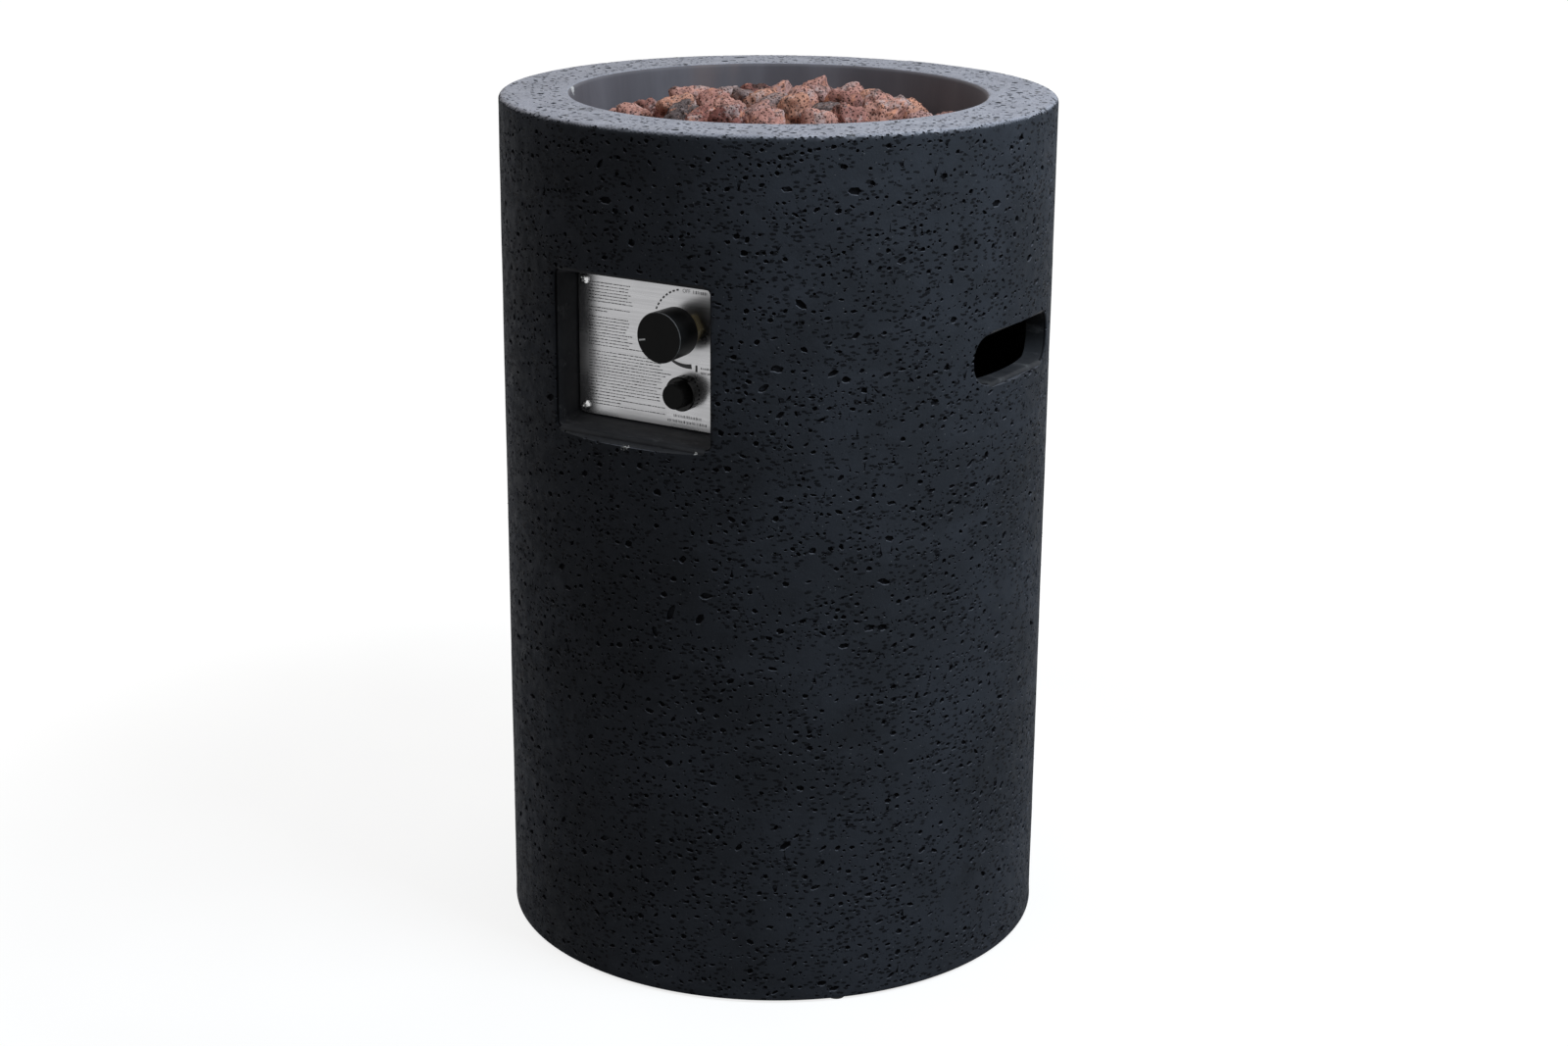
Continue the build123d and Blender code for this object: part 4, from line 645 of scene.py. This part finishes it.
def cast_holes():
    """The larger air holes that the solid has too."""
    chance = random.Random(HOLE_SEED)
    golden = math.pi * (3 - math.sqrt(5))
    low, high = COLUMN_FOOT + BASE_ROUND + HOLE_EDGE_GAP, COLUMN_TOP - RIM_ROUND - HOLE_EDGE_GAP
    inside = MOUTH_RADIUS + MOUTH_ROUND + HOLE_EDGE_GAP
    outside = COLUMN_RADIUS - RIM_ROUND - HOLE_EDGE_GAP
    angles = [2 * math.pi * n / HOLE_CORNER_COUNT for n in range(HOLE_CORNER_COUNT)]
    holes = []
    for n in range(HOLE_COUNT + RIM_HOLE_COUNT):
        angle = n * golden + chance.uniform(-HOLE_SHIFT, HOLE_SHIFT) / COLUMN_RADIUS
        size = chance.uniform(*HOLE_SIZE_SHARES)
        long = chance.uniform(*HOLE_LONG_SHARES)
        turn = math.radians(chance.gauss(HOLE_SLANT_ANGLE, HOLE_SWING_ANGLE))
        shares = [chance.uniform(*HOLE_CORNER_SHARES) for _ in angles]
        u = COLUMN_RADIUS * ((angle - math.pi / 2) % (2 * math.pi))
        if n < HOLE_COUNT:
            v = low + (high - low) * (n + chance.random()) / HOLE_COUNT - COLUMN_FOOT - BASE_ROUND
        else:
            v = WALL_LENGTH + ARC_LENGTH + COLUMN_RADIUS - RIM_ROUND - chance.uniform(inside, outside)
        holes.append(Pit(u, v, HOLE_LARGEST * size, long, turn, angles, shares, HOLE_DEPTH * size))
    return holes


def scatter_pits(rng):
    """Pits all over the skin, thicker in some patches and in slanting chains, none touching another."""
    count = int(PIT_SHARE * SKIN_WIDTH * SKIN_LENGTH)
    buckets, pits = {}, []

    def keep(pit):
        if pit.fits(buckets):
            buckets.setdefault(pit.key(), []).append(pit)
            pits.append(pit)

    for hole in cast_holes():
        keep(hole)
    tries = 0
    while len(pits) < count and tries < 8 * count:
        tries += 1
        u, v = rng.uniform(0, SKIN_WIDTH), rng.uniform(0, SKIN_LENGTH)
        patch = noise.noise(Vector((u / 60, v / 38, 3))) + 0.6 * noise.noise(Vector((u / 19, v / 14, 8)))
        if v < WALL_LENGTH and patch < rng.uniform(-0.8, 0.4):
            continue
        keep(small_pit(rng, u, v))
        if rng.random() < CHAIN_SHARE:
            for _ in range(CHAIN_LENGTH):
                step = rng.uniform(*CHAIN_STEP)
                u, v = u + step * math.cos(SLANT), v + step * math.sin(SLANT) + rng.uniform(-1.2, 1.2)
                keep(small_pit(rng, u, v))
    return pits


def skin_mesh():
    """Points, triangles and edge rows of the pitted outer skin."""
    rng = np.random.default_rng(PIT_SEED)
    flat, heights, edges = [], [], []

    def spot(u, v, drop=0):
        flat.append((u, v))
        heights.append(skin_level(u, v) - drop)

    def loop(points, drop):
        first = len(flat)
        for n, point in enumerate(points):
            spot(*point, drop)
            edges.append((first + n, first + (n + 1) % len(points)))

    taken = {}
    for pit in scatter_pits(rng):
        u, v = pit.u, pit.v
        lift = PIT_LIFT * pit.size if v < WALL_LENGTH else 0
        loop([(u + a, v + b) for a, b in pit.outline], 0)
        for share, deep in PIT_STEPS if pit.size > STEPPED_SIZE else PIT_STEPS[:1]:
            loop([(u + share * a, v + share * b + lift) for a, b in pit.outline], deep * pit.depth)
        spot(u, v + lift, pit.depth)
        reach = pit.reach + SKIN_GAP
        for a in range(int((u - reach) / SKIN_GRID), int((u + reach) / SKIN_GRID) + 1):
            for b in range(int((v - reach) / SKIN_GRID), int((v + reach) / SKIN_GRID) + 1):
                taken.setdefault((a, b), []).append((u, v, reach))

    def free(u, v):
        near = taken.get((int(u / SKIN_GRID), int(v / SKIN_GRID)), ())
        return all(math.hypot(u - a, v - b) > reach for a, b, reach in near)

    arc_end = WALL_LENGTH + ARC_LENGTH
    rows = list(np.arange(SKIN_GRID, WALL_LENGTH - 3, SKIN_GRID))
    rows += list(np.linspace(WALL_LENGTH - 1, arc_end + 1, ARC_ROWS))
    rows += list(np.arange(arc_end + SKIN_GRID, SKIN_LENGTH - 4, SKIN_GRID))
    for n, v in enumerate(rows):
        step = FINE_GRID if WALL_LENGTH - 2 < v < arc_end + 2 else SKIN_GRID
        count = round(SKIN_WIDTH / step)
        for k in range(count):
            u = SKIN_WIDTH * (k + 0.5 * (n % 2) + 0.25) / count
            if 3 < u < SKIN_WIDTH - 3 and free(u, v):
                spot(u, v)
    side_rows = list(np.arange(0, WALL_LENGTH, 5)) + list(np.linspace(WALL_LENGTH, arc_end, ARC_ROWS))
    side_rows += list(np.linspace(arc_end, SKIN_LENGTH, 9))[1:]
    for u in (0, SKIN_WIDTH):
        first = len(flat)
        flat += [(u, v) for v in side_rows]
        heights += [0] * len(side_rows)
        edges += [(first + n, first + n + 1) for n in range(len(side_rows) - 1)]
    for v in (0, SKIN_LENGTH):
        first = len(flat)
        flat += [(SKIN_WIDTH * n / COLUMNS, v) for n in range(1, COLUMNS)]
        heights += [0] * (COLUMNS - 1)
        edges += [(first + n, first + n + 1) for n in range(COLUMNS - 2)]
    points, _, faces, origins, _, _ = delaunay_2d_cdt([Vector(p) for p in flat], edges, [], 0, 1e-4)
    levels = [heights[o[0]] if o else 0 for o in origins]
    return [skin_point(p.x, p.y, h) for p, h in zip(points, levels)], faces


def lathe_rows(rows, count):
    """Points of (radius, height) rows turned about Z, starting at the back."""
    points = []
    for radius, z in rows:
        for n in range(count):
            angle = math.pi / 2 + 2 * math.pi * n / count
            points.append((radius * math.cos(angle), radius * math.sin(angle), z))
    return points


def row_faces(rows, count, first=0):
    """Quads between turned rows."""
    faces = []
    for r in range(rows - 1):
        for n in range(count):
            a, b = first + r * count + n, first + r * count + (n + 1) % count
            faces.append((a, b, b + count, a + count))
    return faces


def round_corner(center, radius, start, end, steps):
    """Points of an arc in a (radius, height) section."""
    angles = np.radians(np.linspace(start, end, steps))
    return [(center[0] + radius * math.cos(a), center[1] + radius * math.sin(a)) for a in angles]


def shell_rows():
    """Section of the casting from the rim's inner edge, down the well and inside, to the foot of the wall."""
    rows = round_corner((MOUTH_RADIUS + MOUTH_ROUND, COLUMN_TOP - MOUTH_ROUND), MOUTH_ROUND, 90, 180, 6)
    mouth_z = COLUMN_TOP - MOUTH_ROUND
    for share in np.linspace(*WELL_ROWS):
        radius = MOUTH_RADIUS + (LEDGE_RADIUS - MOUTH_RADIUS) * share
        rows.append((radius, mouth_z + (LEDGE_Z - mouth_z) * share))
    rows += [(LEDGE_INNER, LEDGE_Z), (LEDGE_INNER, LEDGE_Z - LEDGE_THICK), (WELL_BACK, LEDGE_Z - LEDGE_THICK)]
    rows += [(WELL_BACK, COLUMN_TOP - RIM_THICK), (COLUMN_INNER, COLUMN_TOP - RIM_THICK)]
    rows += [(COLUMN_INNER, z) for z in np.linspace(*INNER_ROWS)]
    rows += [(COLUMN_INNER, COLUMN_FOOT)]
    center = COLUMN_RADIUS - BASE_ROUND, COLUMN_FOOT + BASE_ROUND
    return rows + round_corner(center, BASE_ROUND, -90, 0, 5)


def outline_ring(width, height, corner, steps=8):
    """Rounded rectangle about the origin."""
    points = []
    for sx, sy, start in ((1, 1, 0), (-1, 1, 90), (-1, -1, 180), (1, -1, 270)):
        center = sx * (width / 2 - corner), sy * (height / 2 - corner)
        points += round_corner(center, corner, start, start + 90, steps)
    return points


def edge_flare(depth):
    """How much wider a cut is near the skin, so that its edge comes out round."""
    if depth <= 0:
        return EDGE_ROUND
    if depth >= EDGE_ROUND:
        return 0
    return EDGE_ROUND - math.sqrt(EDGE_ROUND**2 - (EDGE_ROUND - depth) ** 2)


FLARE_DEPTHS = [CUT_OUTSIDE, 0]
FLARE_DEPTHS += [EDGE_ROUND * (1 - math.cos(math.radians(a))) for a in FLARE_ANGLES]
FLARE_DEPTHS += [EDGE_ROUND]


def layered(layers):
    """Closed mesh through rings of points."""
    count = len(layers[0])
    points = [p for layer in layers for p in layer]
    faces = row_faces(len(layers), count)
    faces.append(tuple(range(count))[::-1])
    faces.append(tuple(range(len(points) - count, len(points))))
    return points, faces


def slot_cutter(side):
    layers = []
    for depth in (*FLARE_DEPTHS, *WALL_CUTS):
        flare = edge_flare(depth)
        reach = COLUMN_RADIUS - depth
        ring = outline_ring(SLOT_LENGTH + 2 * flare, SLOT_HEIGHT + 2 * flare, SLOT_ROUND + flare)
        layers.append([(side * math.sqrt(reach**2 - y * y), y, SLOT_Z + z) for y, z in ring])
    outside = [(side * CUT_START, y, z) for _, y, z in layers[0]]
    return layered([outside] + layers)


def notch_cutter():
    layers = []
    for depth in (*FLARE_DEPTHS, *WALL_CUTS):
        half = NOTCH_HALF_WIDTH + edge_flare(depth)
        reach = COLUMN_RADIUS - depth
        arch = round_corner((0, COLUMN_FOOT + NOTCH_RISE), half, 0, 180, NOTCH_STEPS)
        ring = [(half, NOTCH_LOW), *arch, (-half, NOTCH_LOW)]
        layers.append([(x, math.sqrt(reach**2 - x * x), z) for x, z in ring])
    outside = [(x, CUT_START, z) for x, _, z in layers[0]]
    return layered([outside] + layers)


def recess_ring(height, flare):
    """Outline of the recess at a height over the plate."""
    width = 2 * (RECESS_HALF_WIDTH + RECESS_SIDE_SLOPE * height + flare)
    tall = 2 * (RECESS_HALF_HEIGHT + RECESS_TOP_SLOPE * height + flare)
    return outline_ring(width, tall, RECESS_ROUND + flare)


def recess_cutter():
    layers = []
    for depth in (*FLARE_DEPTHS, WALL_CUTS[0]):
        flare = edge_flare(depth)
        layer = []
        for n in range(len(recess_ring(0, 0))):
            height = RECESS_GUESS
            for _ in range(RECESS_TURNS):
                x, z = recess_ring(height, flare)[n]
                reach = math.sqrt((COLUMN_RADIUS - depth) ** 2 - x * x)
                height = reach + PLATE_Y
            layer.append((x, -reach, PLATE_Z + z))
        layers.append(layer)
    for height in RECESS_FLOOR_STEPS:
        layers.append([(x, PLATE_Y - height, PLATE_Z + z) for x, z in recess_ring(height, 0)])
    outside = [(x, -CUT_START, z) for x, _, z in layers[0]]
    return layered([outside] + layers)


def window_cutter():
    ring = outline_ring(WINDOW_WIDTH, WINDOW_HEIGHT, WINDOW_ROUND)
    return layered([[(x, PLATE_Y - h, PLATE_Z + z) for x, z in ring] for h in WINDOW_REACH])


def pocket_block():
    """Block behind the wall that holds the recess and the flange."""
    half, tall, back = POCKET_HALF_WIDTH, POCKET_HALF_HEIGHT, PLATE_Y + POCKET_DEPTH
    across = np.linspace(-half, half, POCKET_STEPS)
    front = [(x, -math.sqrt(POCKET_FRONT_RADIUS**2 - x * x)) for x in across]
    outline = front + [(half, back), (-half, back)]
    return layered([[(x, y, PLATE_Z + z) for x, y in outline] for z in (-tall, tall)])


def cut_with(piece, points, faces, kind):
    """Cuts a closed mesh from a piece, or joins it on."""
    tool = new_piece("tool", points, faces, None, None, [])
    clean_normals(tool, TOOL_MERGE)
    change = piece.modifiers.new("cut", "BOOLEAN")
    change.operation = kind
    change.solver = "MANIFOLD"
    change.object = tool
    graph = bpy.context.evaluated_depsgraph_get()
    mesh = bpy.data.meshes.new_from_object(piece.evaluated_get(graph))
    piece.modifiers.clear()
    piece.data = mesh
    bpy.data.objects.remove(tool)


def clean_normals(piece, merge):
    """Joins points closer than merge, in metres, and turns all faces outwards."""
    bm = bmesh.new()
    bm.from_mesh(piece.data)
    bmesh.ops.remove_doubles(bm, verts=bm.verts, dist=merge)
    bmesh.ops.recalc_face_normals(bm, faces=bm.faces)
    bm.to_mesh(piece.data)
    bm.free()


def make_shell():
    points, faces = skin_mesh()
    rows = shell_rows()
    first = len(points)
    points = points + lathe_rows(rows, COLUMNS)
    faces = list(faces) + row_faces(len(rows), COLUMNS, first)
    shell = new_piece("column_casting", points, faces, None, None, [])
    clean_normals(shell, SKIN_MERGE)
    cut_with(shell, *pocket_block(), "UNION")
    for cutter in (recess_cutter(), window_cutter(), slot_cutter(1), slot_cutter(-1), notch_cutter()):
        cut_with(shell, *cutter, "DIFFERENCE")
    paint_shell(shell)
    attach(shell, "column")
    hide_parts("column_shell")


def paint_shell(shell):
    """Materials by place, and how deep each point lies below the skin, from which the concrete paints shade
    into the pits.
    """
    mesh = shell.data
    mesh.materials.clear()
    for material in (CONCRETE, WELL, RECESS, RIM):
        mesh.materials.append(material)
    count = len(mesh.vertices)
    places = np.zeros(count * 3)
    mesh.vertices.foreach_get("co", places)
    places = places.reshape(-1, 3) / MM
    radius = np.hypot(places[:, 0], places[:, 1])
    wall = np.where(places[:, 2] < COLUMN_TOP - RIM_ROUND, COLUMN_RADIUS - radius, 0)
    rim = np.where(radius < COLUMN_RADIUS - RIM_ROUND, COLUMN_TOP - places[:, 2], 0)
    depth = np.where(radius < MOUTH_RADIUS + MOUTH_ROUND, 0, np.maximum(wall, rim))
    depth = np.where(depth > PIT_MOST, 0, depth)
    # The pit attribute is the share of painted shade in the pits, growing with depth below the skin
    pit = mesh.attributes.new("pit", "FLOAT", "POINT")
    shade = (depth - PIT_SHADE[0]) / (PIT_SHADE[1] - PIT_SHADE[0])
    pit.data.foreach_set("value", np.clip(shade, 0, 1))
    centers = np.zeros(len(mesh.polygons) * 3)
    mesh.polygons.foreach_get("center", centers)
    x, y, z = centers.reshape(-1, 3).T / MM
    around = np.hypot(x, y)
    index = np.zeros(len(mesh.polygons), int)
    index[(around < COLUMN_RADIUS - 0.3 * RIM_ROUND) & (z > COLUMN_TOP - 0.7 * RIM_ROUND)] = RIM_PAINT
    index[(around < MOUTH_RADIUS + WELL_PAINT_EDGE) & (z > LEDGE_Z - 1)] = WELL_PAINT
    half, tall = RECESS_PAINT_HALVES
    in_recess = (y < -PAINT_BACK) & (np.abs(x) < half) & (np.abs(z - PLATE_Z) < tall)
    half, tall = SLOT_PAINT_HALVES
    in_slot = (np.abs(x) > PAINT_BACK) & (np.abs(y) < half) & (np.abs(z - SLOT_Z) < tall)
    index[(around < COLUMN_RADIUS - PIT_MOST) & (in_recess | in_slot)] = RECESS_PAINT
    mesh.polygons.foreach_set("material_index", index)
    mesh.shade_smooth()
    mesh.set_sharp_from_angle(angle=math.radians(SHELL_SHARP))


# Marks and screws on the plate


def prism(outline, points, faces):
    """Adds a mark of a flat outline (across, up) to a mesh, printed a little proud of the plate."""
    first, count = len(points), len(outline)
    for out in (-PRINT_THICK, PRINT_THICK):
        points += [(x, PLATE_Y - out, z) for x, z in outline]
    faces += [tuple(first + i for i in f) for f in row_faces(2, count)]
    faces += [tuple(range(first, first + count))[::-1], tuple(range(first + count, first + 2 * count))]


def print_rows(rng):
    """Rows of word-like bars as (left, right, low, high)."""
    bars = []
    for row in range(PRINT_ROWS):
        z = PRINT_TOP_Z - row * PRINT_PITCH
        kind = rng.random()
        if kind < EMPTY_ROWS:
            continue
        end = PRINT_ENDS[0] if z > PRINT_TURN_Z else PRINT_ENDS[1]
        share = rng.uniform(0.3, 0.6) if kind < SHORT_ROWS else rng.uniform(0.82, 1)
        end = PRINT_LEFT + (end - PRINT_LEFT) * share
        x = PRINT_LEFT
        while x < end:
            wide = rng.uniform(0.5, 3.4)
            bars.append((x, x + wide, z, z + PRINT_TALL * rng.uniform(0.6, 1)))
            x += wide + rng.uniform(0.35, 0.6)
    return bars


def caption(rng, left, right, low, tall):
    """One short row of larger letter-like strokes."""
    bars, x = [], left
    while x < right:
        wide = rng.uniform(0.35, 0.8)
        foot, head = rng.uniform(0, 0.1), rng.uniform(0.8, 1)
        bars.append((x, x + wide, low + tall * foot, low + tall * head))
        x += wide + rng.uniform(0.5, 0.9)
    return bars


def arc_outline(start, end, thin, thick):
    """Band about the knob's axis between two angles, growing from thin to thick."""
    shares = np.linspace(0, 1, 10)
    rims = []
    for side in (-1, 1):
        for share in shares[::side]:
            angle = math.radians(start + (end - start) * share)
            radius = ARC_RADIUS - side * (thin + (thick - thin) * share) / 2
            rims.append((KNOB_X + radius * math.cos(angle), KNOB_Z + radius * math.sin(angle)))
    return rims


def bar_mesh(bars):
    """Points and faces of upright bars given as (left, right, low, high)."""
    points, faces = [], []
    for left, right, low, high in bars:
        prism([(left, low), (right, low), (right, high), (left, high)], points, faces)
    return points, faces


def make_print():
    rng = np.random.default_rng(PRINT_SEED)
    rows = bar_mesh(print_rows(rng))
    new_piece("plate_print", *rows, "column", "knob_plastic", [FAINT_INK], smooth=False)
    bars = [MARK_BAR]
    for row in CAPTIONS:
        bars += caption(rng, *row)
    points, faces = bar_mesh(bars)
    for n in range(ARC_DOTS):
        start = ARC_START + ARC_SWEEP * n / ARC_DOTS
        prism(arc_outline(start, start + ARC_DASH, ARC_THICK, ARC_THICK), points, faces)
    prism(arc_outline(*WEDGE), points, faces)
    new_piece("plate_marks", points, faces, "column", "knob_plastic", [INK], smooth=False)


def make_off_mark():
    curve = bpy.data.curves.new("off_mark", "FONT")
    curve.body = "OFF"
    curve.size = OFF_SIZE * MM
    curve.extrude = PRINT_THICK * MM
    letters = bpy.data.objects.new("letters", curve)
    SCENE.collection.objects.link(letters)
    mesh = bpy.data.meshes.new_from_object(letters)
    bpy.data.objects.remove(letters)
    place = Vector((OFF_PLACE[0], PLATE_Y, OFF_PLACE[1])) * MM
    mesh.transform(Matrix.Translation(place) @ Matrix.Rotation(math.pi / 2, 4, "X"))
    mesh.materials.clear()
    mesh.materials.append(INK)
    mark = bpy.data.objects.new("off_mark", mesh)
    SCENE.collection.objects.link(mark)
    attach(mark, "column")


def screw_rows(count, turn):
    """Domed head with a cross recess, then the shank, as rings of (across, up, out)."""
    points = []
    angles = turn + 2 * math.pi * np.arange(count) / count
    for share in np.linspace(0.08, 1, SCREW_RINGS):
        x, y = SCREW_RADIUS * share * np.cos(angles), SCREW_RADIUS * share * np.sin(angles)
        u = np.abs(x * math.cos(turn) + y * math.sin(turn))
        v = np.abs(y * math.cos(turn) - x * math.sin(turn))
        arms = np.clip((CROSS_HALF_WIDTH - np.minimum(u, v)) / 0.15, 0, 1)
        arms = arms * np.clip((CROSS_REACH - np.maximum(u, v)) / 0.3, 0, 1)
        out = SCREW_DOME * (1 - SCREW_FALL * share**2) - CROSS_DEPTH * arms
        points += list(zip(x, y, out))
    for radius, out in ((SCREW_RADIUS, 0), (SCREW_SHANK, 0), (SCREW_SHANK, -SCREW_LENGTH)):
        points += [(radius * math.cos(a), radius * math.sin(a), out) for a in angles]
    return points


def make_screws():
    count, points, faces = SCREW_SIDES, [], []
    for n, (x, z) in enumerate((sx * SCREW_X, sz * SCREW_Z) for sx in (-1, 1) for sz in (-1, 1)):
        rows = screw_rows(count, SCREW_TURN + SCREW_TURN_STEP * n)
        first = len(points)
        points += [(x + a, PLATE_Y - out, PLATE_Z + z + b) for a, b, out in rows]
        faces += row_faces(len(rows) // count, count, first)
        faces += [tuple(range(first, first + count))[::-1], tuple(range(len(points) - count, len(points)))]
    screws = new_piece("cross_screws", points, faces, "column", "screw_steel", [SCREW])
    clean_normals(screws, TOOL_MERGE)
    screws.data.set_sharp_from_angle(angle=math.radians(40))
    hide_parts("plate_screws")


# Lava stones


def sphere_directions(level):
    bm = bmesh.new()
    bmesh.ops.create_icosphere(bm, subdivisions=level, radius=1)
    ways = np.array([v.co for v in bm.verts])
    faces = [tuple(v.index for v in f.verts) for f in bm.faces]
    bm.free()
    return ways, faces


def stone_blocks(node):
    """Planes of every loose stone of a node: middle, normals and distances from the middle."""
    bm = bmesh.new()
    bm.from_mesh(frame["nodes"][node].data)
    bmesh.ops.remove_doubles(bm, verts=bm.verts, dist=1e-6)
    seen, stones = set(), []
    for start in bm.faces:
        if start in seen:
            continue
        stack, island = [start], []
        seen.add(start)
        while stack:
            face = stack.pop()
            island.append(face)
            for edge in face.edges:
                for other in edge.link_faces:
                    if other not in seen:
                        seen.add(other)
                        stack.append(other)
        corners = np.array([v.co for v in {v for f in island for v in f.verts}]) / MM
        middle = (corners.min(0) + corners.max(0)) / 2
        normals = np.array([f.normal for f in island])
        spots = np.array([f.verts[0].co for f in island]) / MM
        gaps = np.einsum("ij,ij->i", normals, spots - middle)
        keep = gaps > STONE_FLAT
        planes = np.unique(np.round(np.c_[normals[keep], gaps[keep]], 3), axis=0)
        stones.append((middle, planes[:, :3], planes[:, 3]))
    bm.free()
    return stones


def lumpy(places, scale, seed):
    return np.array([noise.fractal(Vector(p) / scale + Vector((seed, 0, 0)), 0.6, 2, 3) for p in places])


def make_stones(name, node, seed):
    """Rounded, pitted lumps inside the node's convex stones."""
    rng = np.random.default_rng(seed)
    ways, sphere = sphere_directions(STONE_LEVEL)
    points, faces, tints, pits = [], [], [], []
    for middle, normals, gaps in stone_blocks(node):
        facing = np.maximum(ways @ normals.T, 0) / gaps
        reach = (facing**STONE_ROUNDING).sum(1) ** (-1 / STONE_ROUNDING)
        surface = ways * reach[:, None]
        number = rng.uniform(0, 100)
        dents = lumpy(surface, DENT_SIZE, number)
        knobbles = lumpy(surface, KNOBBLE_SIZE, number + 40)
        drop = DENT_SHARE * np.clip(dents + DENT_START, 0, 1) * reach
        drop = drop + KNOBBLE_DEPTH * np.clip(knobbles + KNOBBLE_START, 0, KNOBBLE_MOST)
        cells = rng.normal(size=(STONE_PITS, 3))
        cells /= np.linalg.norm(cells, axis=1)[:, None]
        wide = rng.uniform(*STONE_PIT_SIZES, STONE_PITS)
        apart = np.arccos(np.clip(ways @ cells.T, -1, 1)) / wide
        hole = np.clip(1 - apart, 0, 1).max(1)
        drop = drop + STONE_PIT_DEPTH * np.minimum(hole * STONE_PIT_SLOPE, 1)
        surface = ways * (reach - np.minimum(drop, DEEPEST_SHARE * reach))[:, None]
        first = len(points)
        points += list(surface + middle)
        faces += [tuple(first + i for i in f) for f in sphere]
        tints += [rng.random()] * len(ways)
        # The pit attribute holds the painted shade of the stones' pits and dents
        pits += list(np.clip(hole * 1.3 + 0.5 * np.clip(knobbles, 0, 1), 0, 1))
    heap = new_piece(name, points, faces, "column", "lava", [LAVA])
    for key, values in (("stone", tints), ("pit", pits)):
        layer = heap.data.attributes.new(key, "FLOAT", "POINT")
        layer.data.foreach_set("value", np.array(values, float))
    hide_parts(node)


# Stage


def seen_rays(tree):
    """1 for rays that show the stage itself: straight from the camera, mirrored or through glass."""
    path = tree.nodes.new("ShaderNodeLightPath")
    seen = path.outputs["Is Camera Ray"]
    for kind in ("Is Glossy Ray", "Is Transmission Ray"):
        node = tree.nodes.new("ShaderNodeMath")
        node.operation = "MAXIMUM"
        tree.links.new(seen, node.inputs[0])
        tree.links.new(path.outputs[kind], node.inputs[1])
        seen = node.outputs[0]
    return seen


def floor_material():
    """White paper that keeps the soft shadow of the object and fades to plain white further out."""
    n = Nodes("floor_paper")
    away = n.add("ShaderNodeVectorMath", operation="LENGTH")
    n.link(n.place, away.inputs[0])
    far = n.ramp(away.outputs["Value"], FLOOR_FADE[0], FLOOR_FADE[1])
    paper = n.mix(n.ramp(n.noise(4, 2), 0.3, 0.7), (0.24, 0.24, 0.24), (0.26, 0.26, 0.26))
    n.set(Base_Color=n.mix(far, paper, (0.1, 0.1, 0.1)), Roughness=0.9, Specular_IOR_Level=0.0)
    glow = n.math("MULTIPLY", seen_rays(n.tree), n.ramp(far, 0, 1, FLOOR_GLOW, 1))
    glow = n.math("MULTIPLY", glow, n.ramp(away.outputs["Value"], FLOOR_DARK[0], FLOOR_DARK[1]))
    n.set(Emission_Color=(1, 1, 1), Emission_Strength=glow)
    return n.material


def make_stage():
    size = FLOOR_HALF
    corners = [(-size, -size, 0), (size, -size, 0), (size, size, 0), (-size, size, 0)]
    new_piece("floor", corners, [(0, 1, 2, 3)], None, None, [floor_material()])
    world = bpy.data.worlds.new("studio")
    SCENE.world = world
    world.use_nodes = True
    tree = world.node_tree
    back = tree.nodes["Background"]
    level = tree.nodes.new("ShaderNodeMapRange")
    tree.links.new(seen_rays(tree), level.inputs["Value"])
    level.inputs["To Min"].default_value = WORLD_LEVEL
    level.inputs["To Max"].default_value = 1
    tree.links.new(level.outputs["Result"], back.inputs["Strength"])
    back.inputs["Color"].default_value = (1, 1, 1, 1)


def make_light(name, place, target, size, power, colour):
    data = bpy.data.lights.new(name, "AREA")
    data.shape = "RECTANGLE"
    data.size, data.size_y = size
    data.energy = power
    data.color = colour
    lamp = bpy.data.objects.new(name, data)
    lamp.location = place
    lamp.rotation_euler = (Vector(target) - Vector(place)).to_track_quat("-Z", "Y").to_euler()
    SCENE.collection.objects.link(lamp)


def make_lights():
    for name, values in LAMPS.items():
        make_light(name, *values)


# Springs


def make_springs():
    """Each spring is a copy of its node's solid, with a mesh of its own, riding on the column."""
    for name, node, joint in SPRINGS:
        spring = bpy.data.objects.new(name, frame["nodes"][node].data.copy())
        SCENE.collection.objects.link(spring)
        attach(spring, "column")
        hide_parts(node)
        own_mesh(spring)


make_camera()
dress_nodes()
make_shell()
make_print()
make_off_mark()
make_screws()
make_springs()
make_stones("lava_heap", "lava_rocks", 3)
make_stones("lava_bed", "lava_rocks_base", 9)
make_stage()
make_lights()
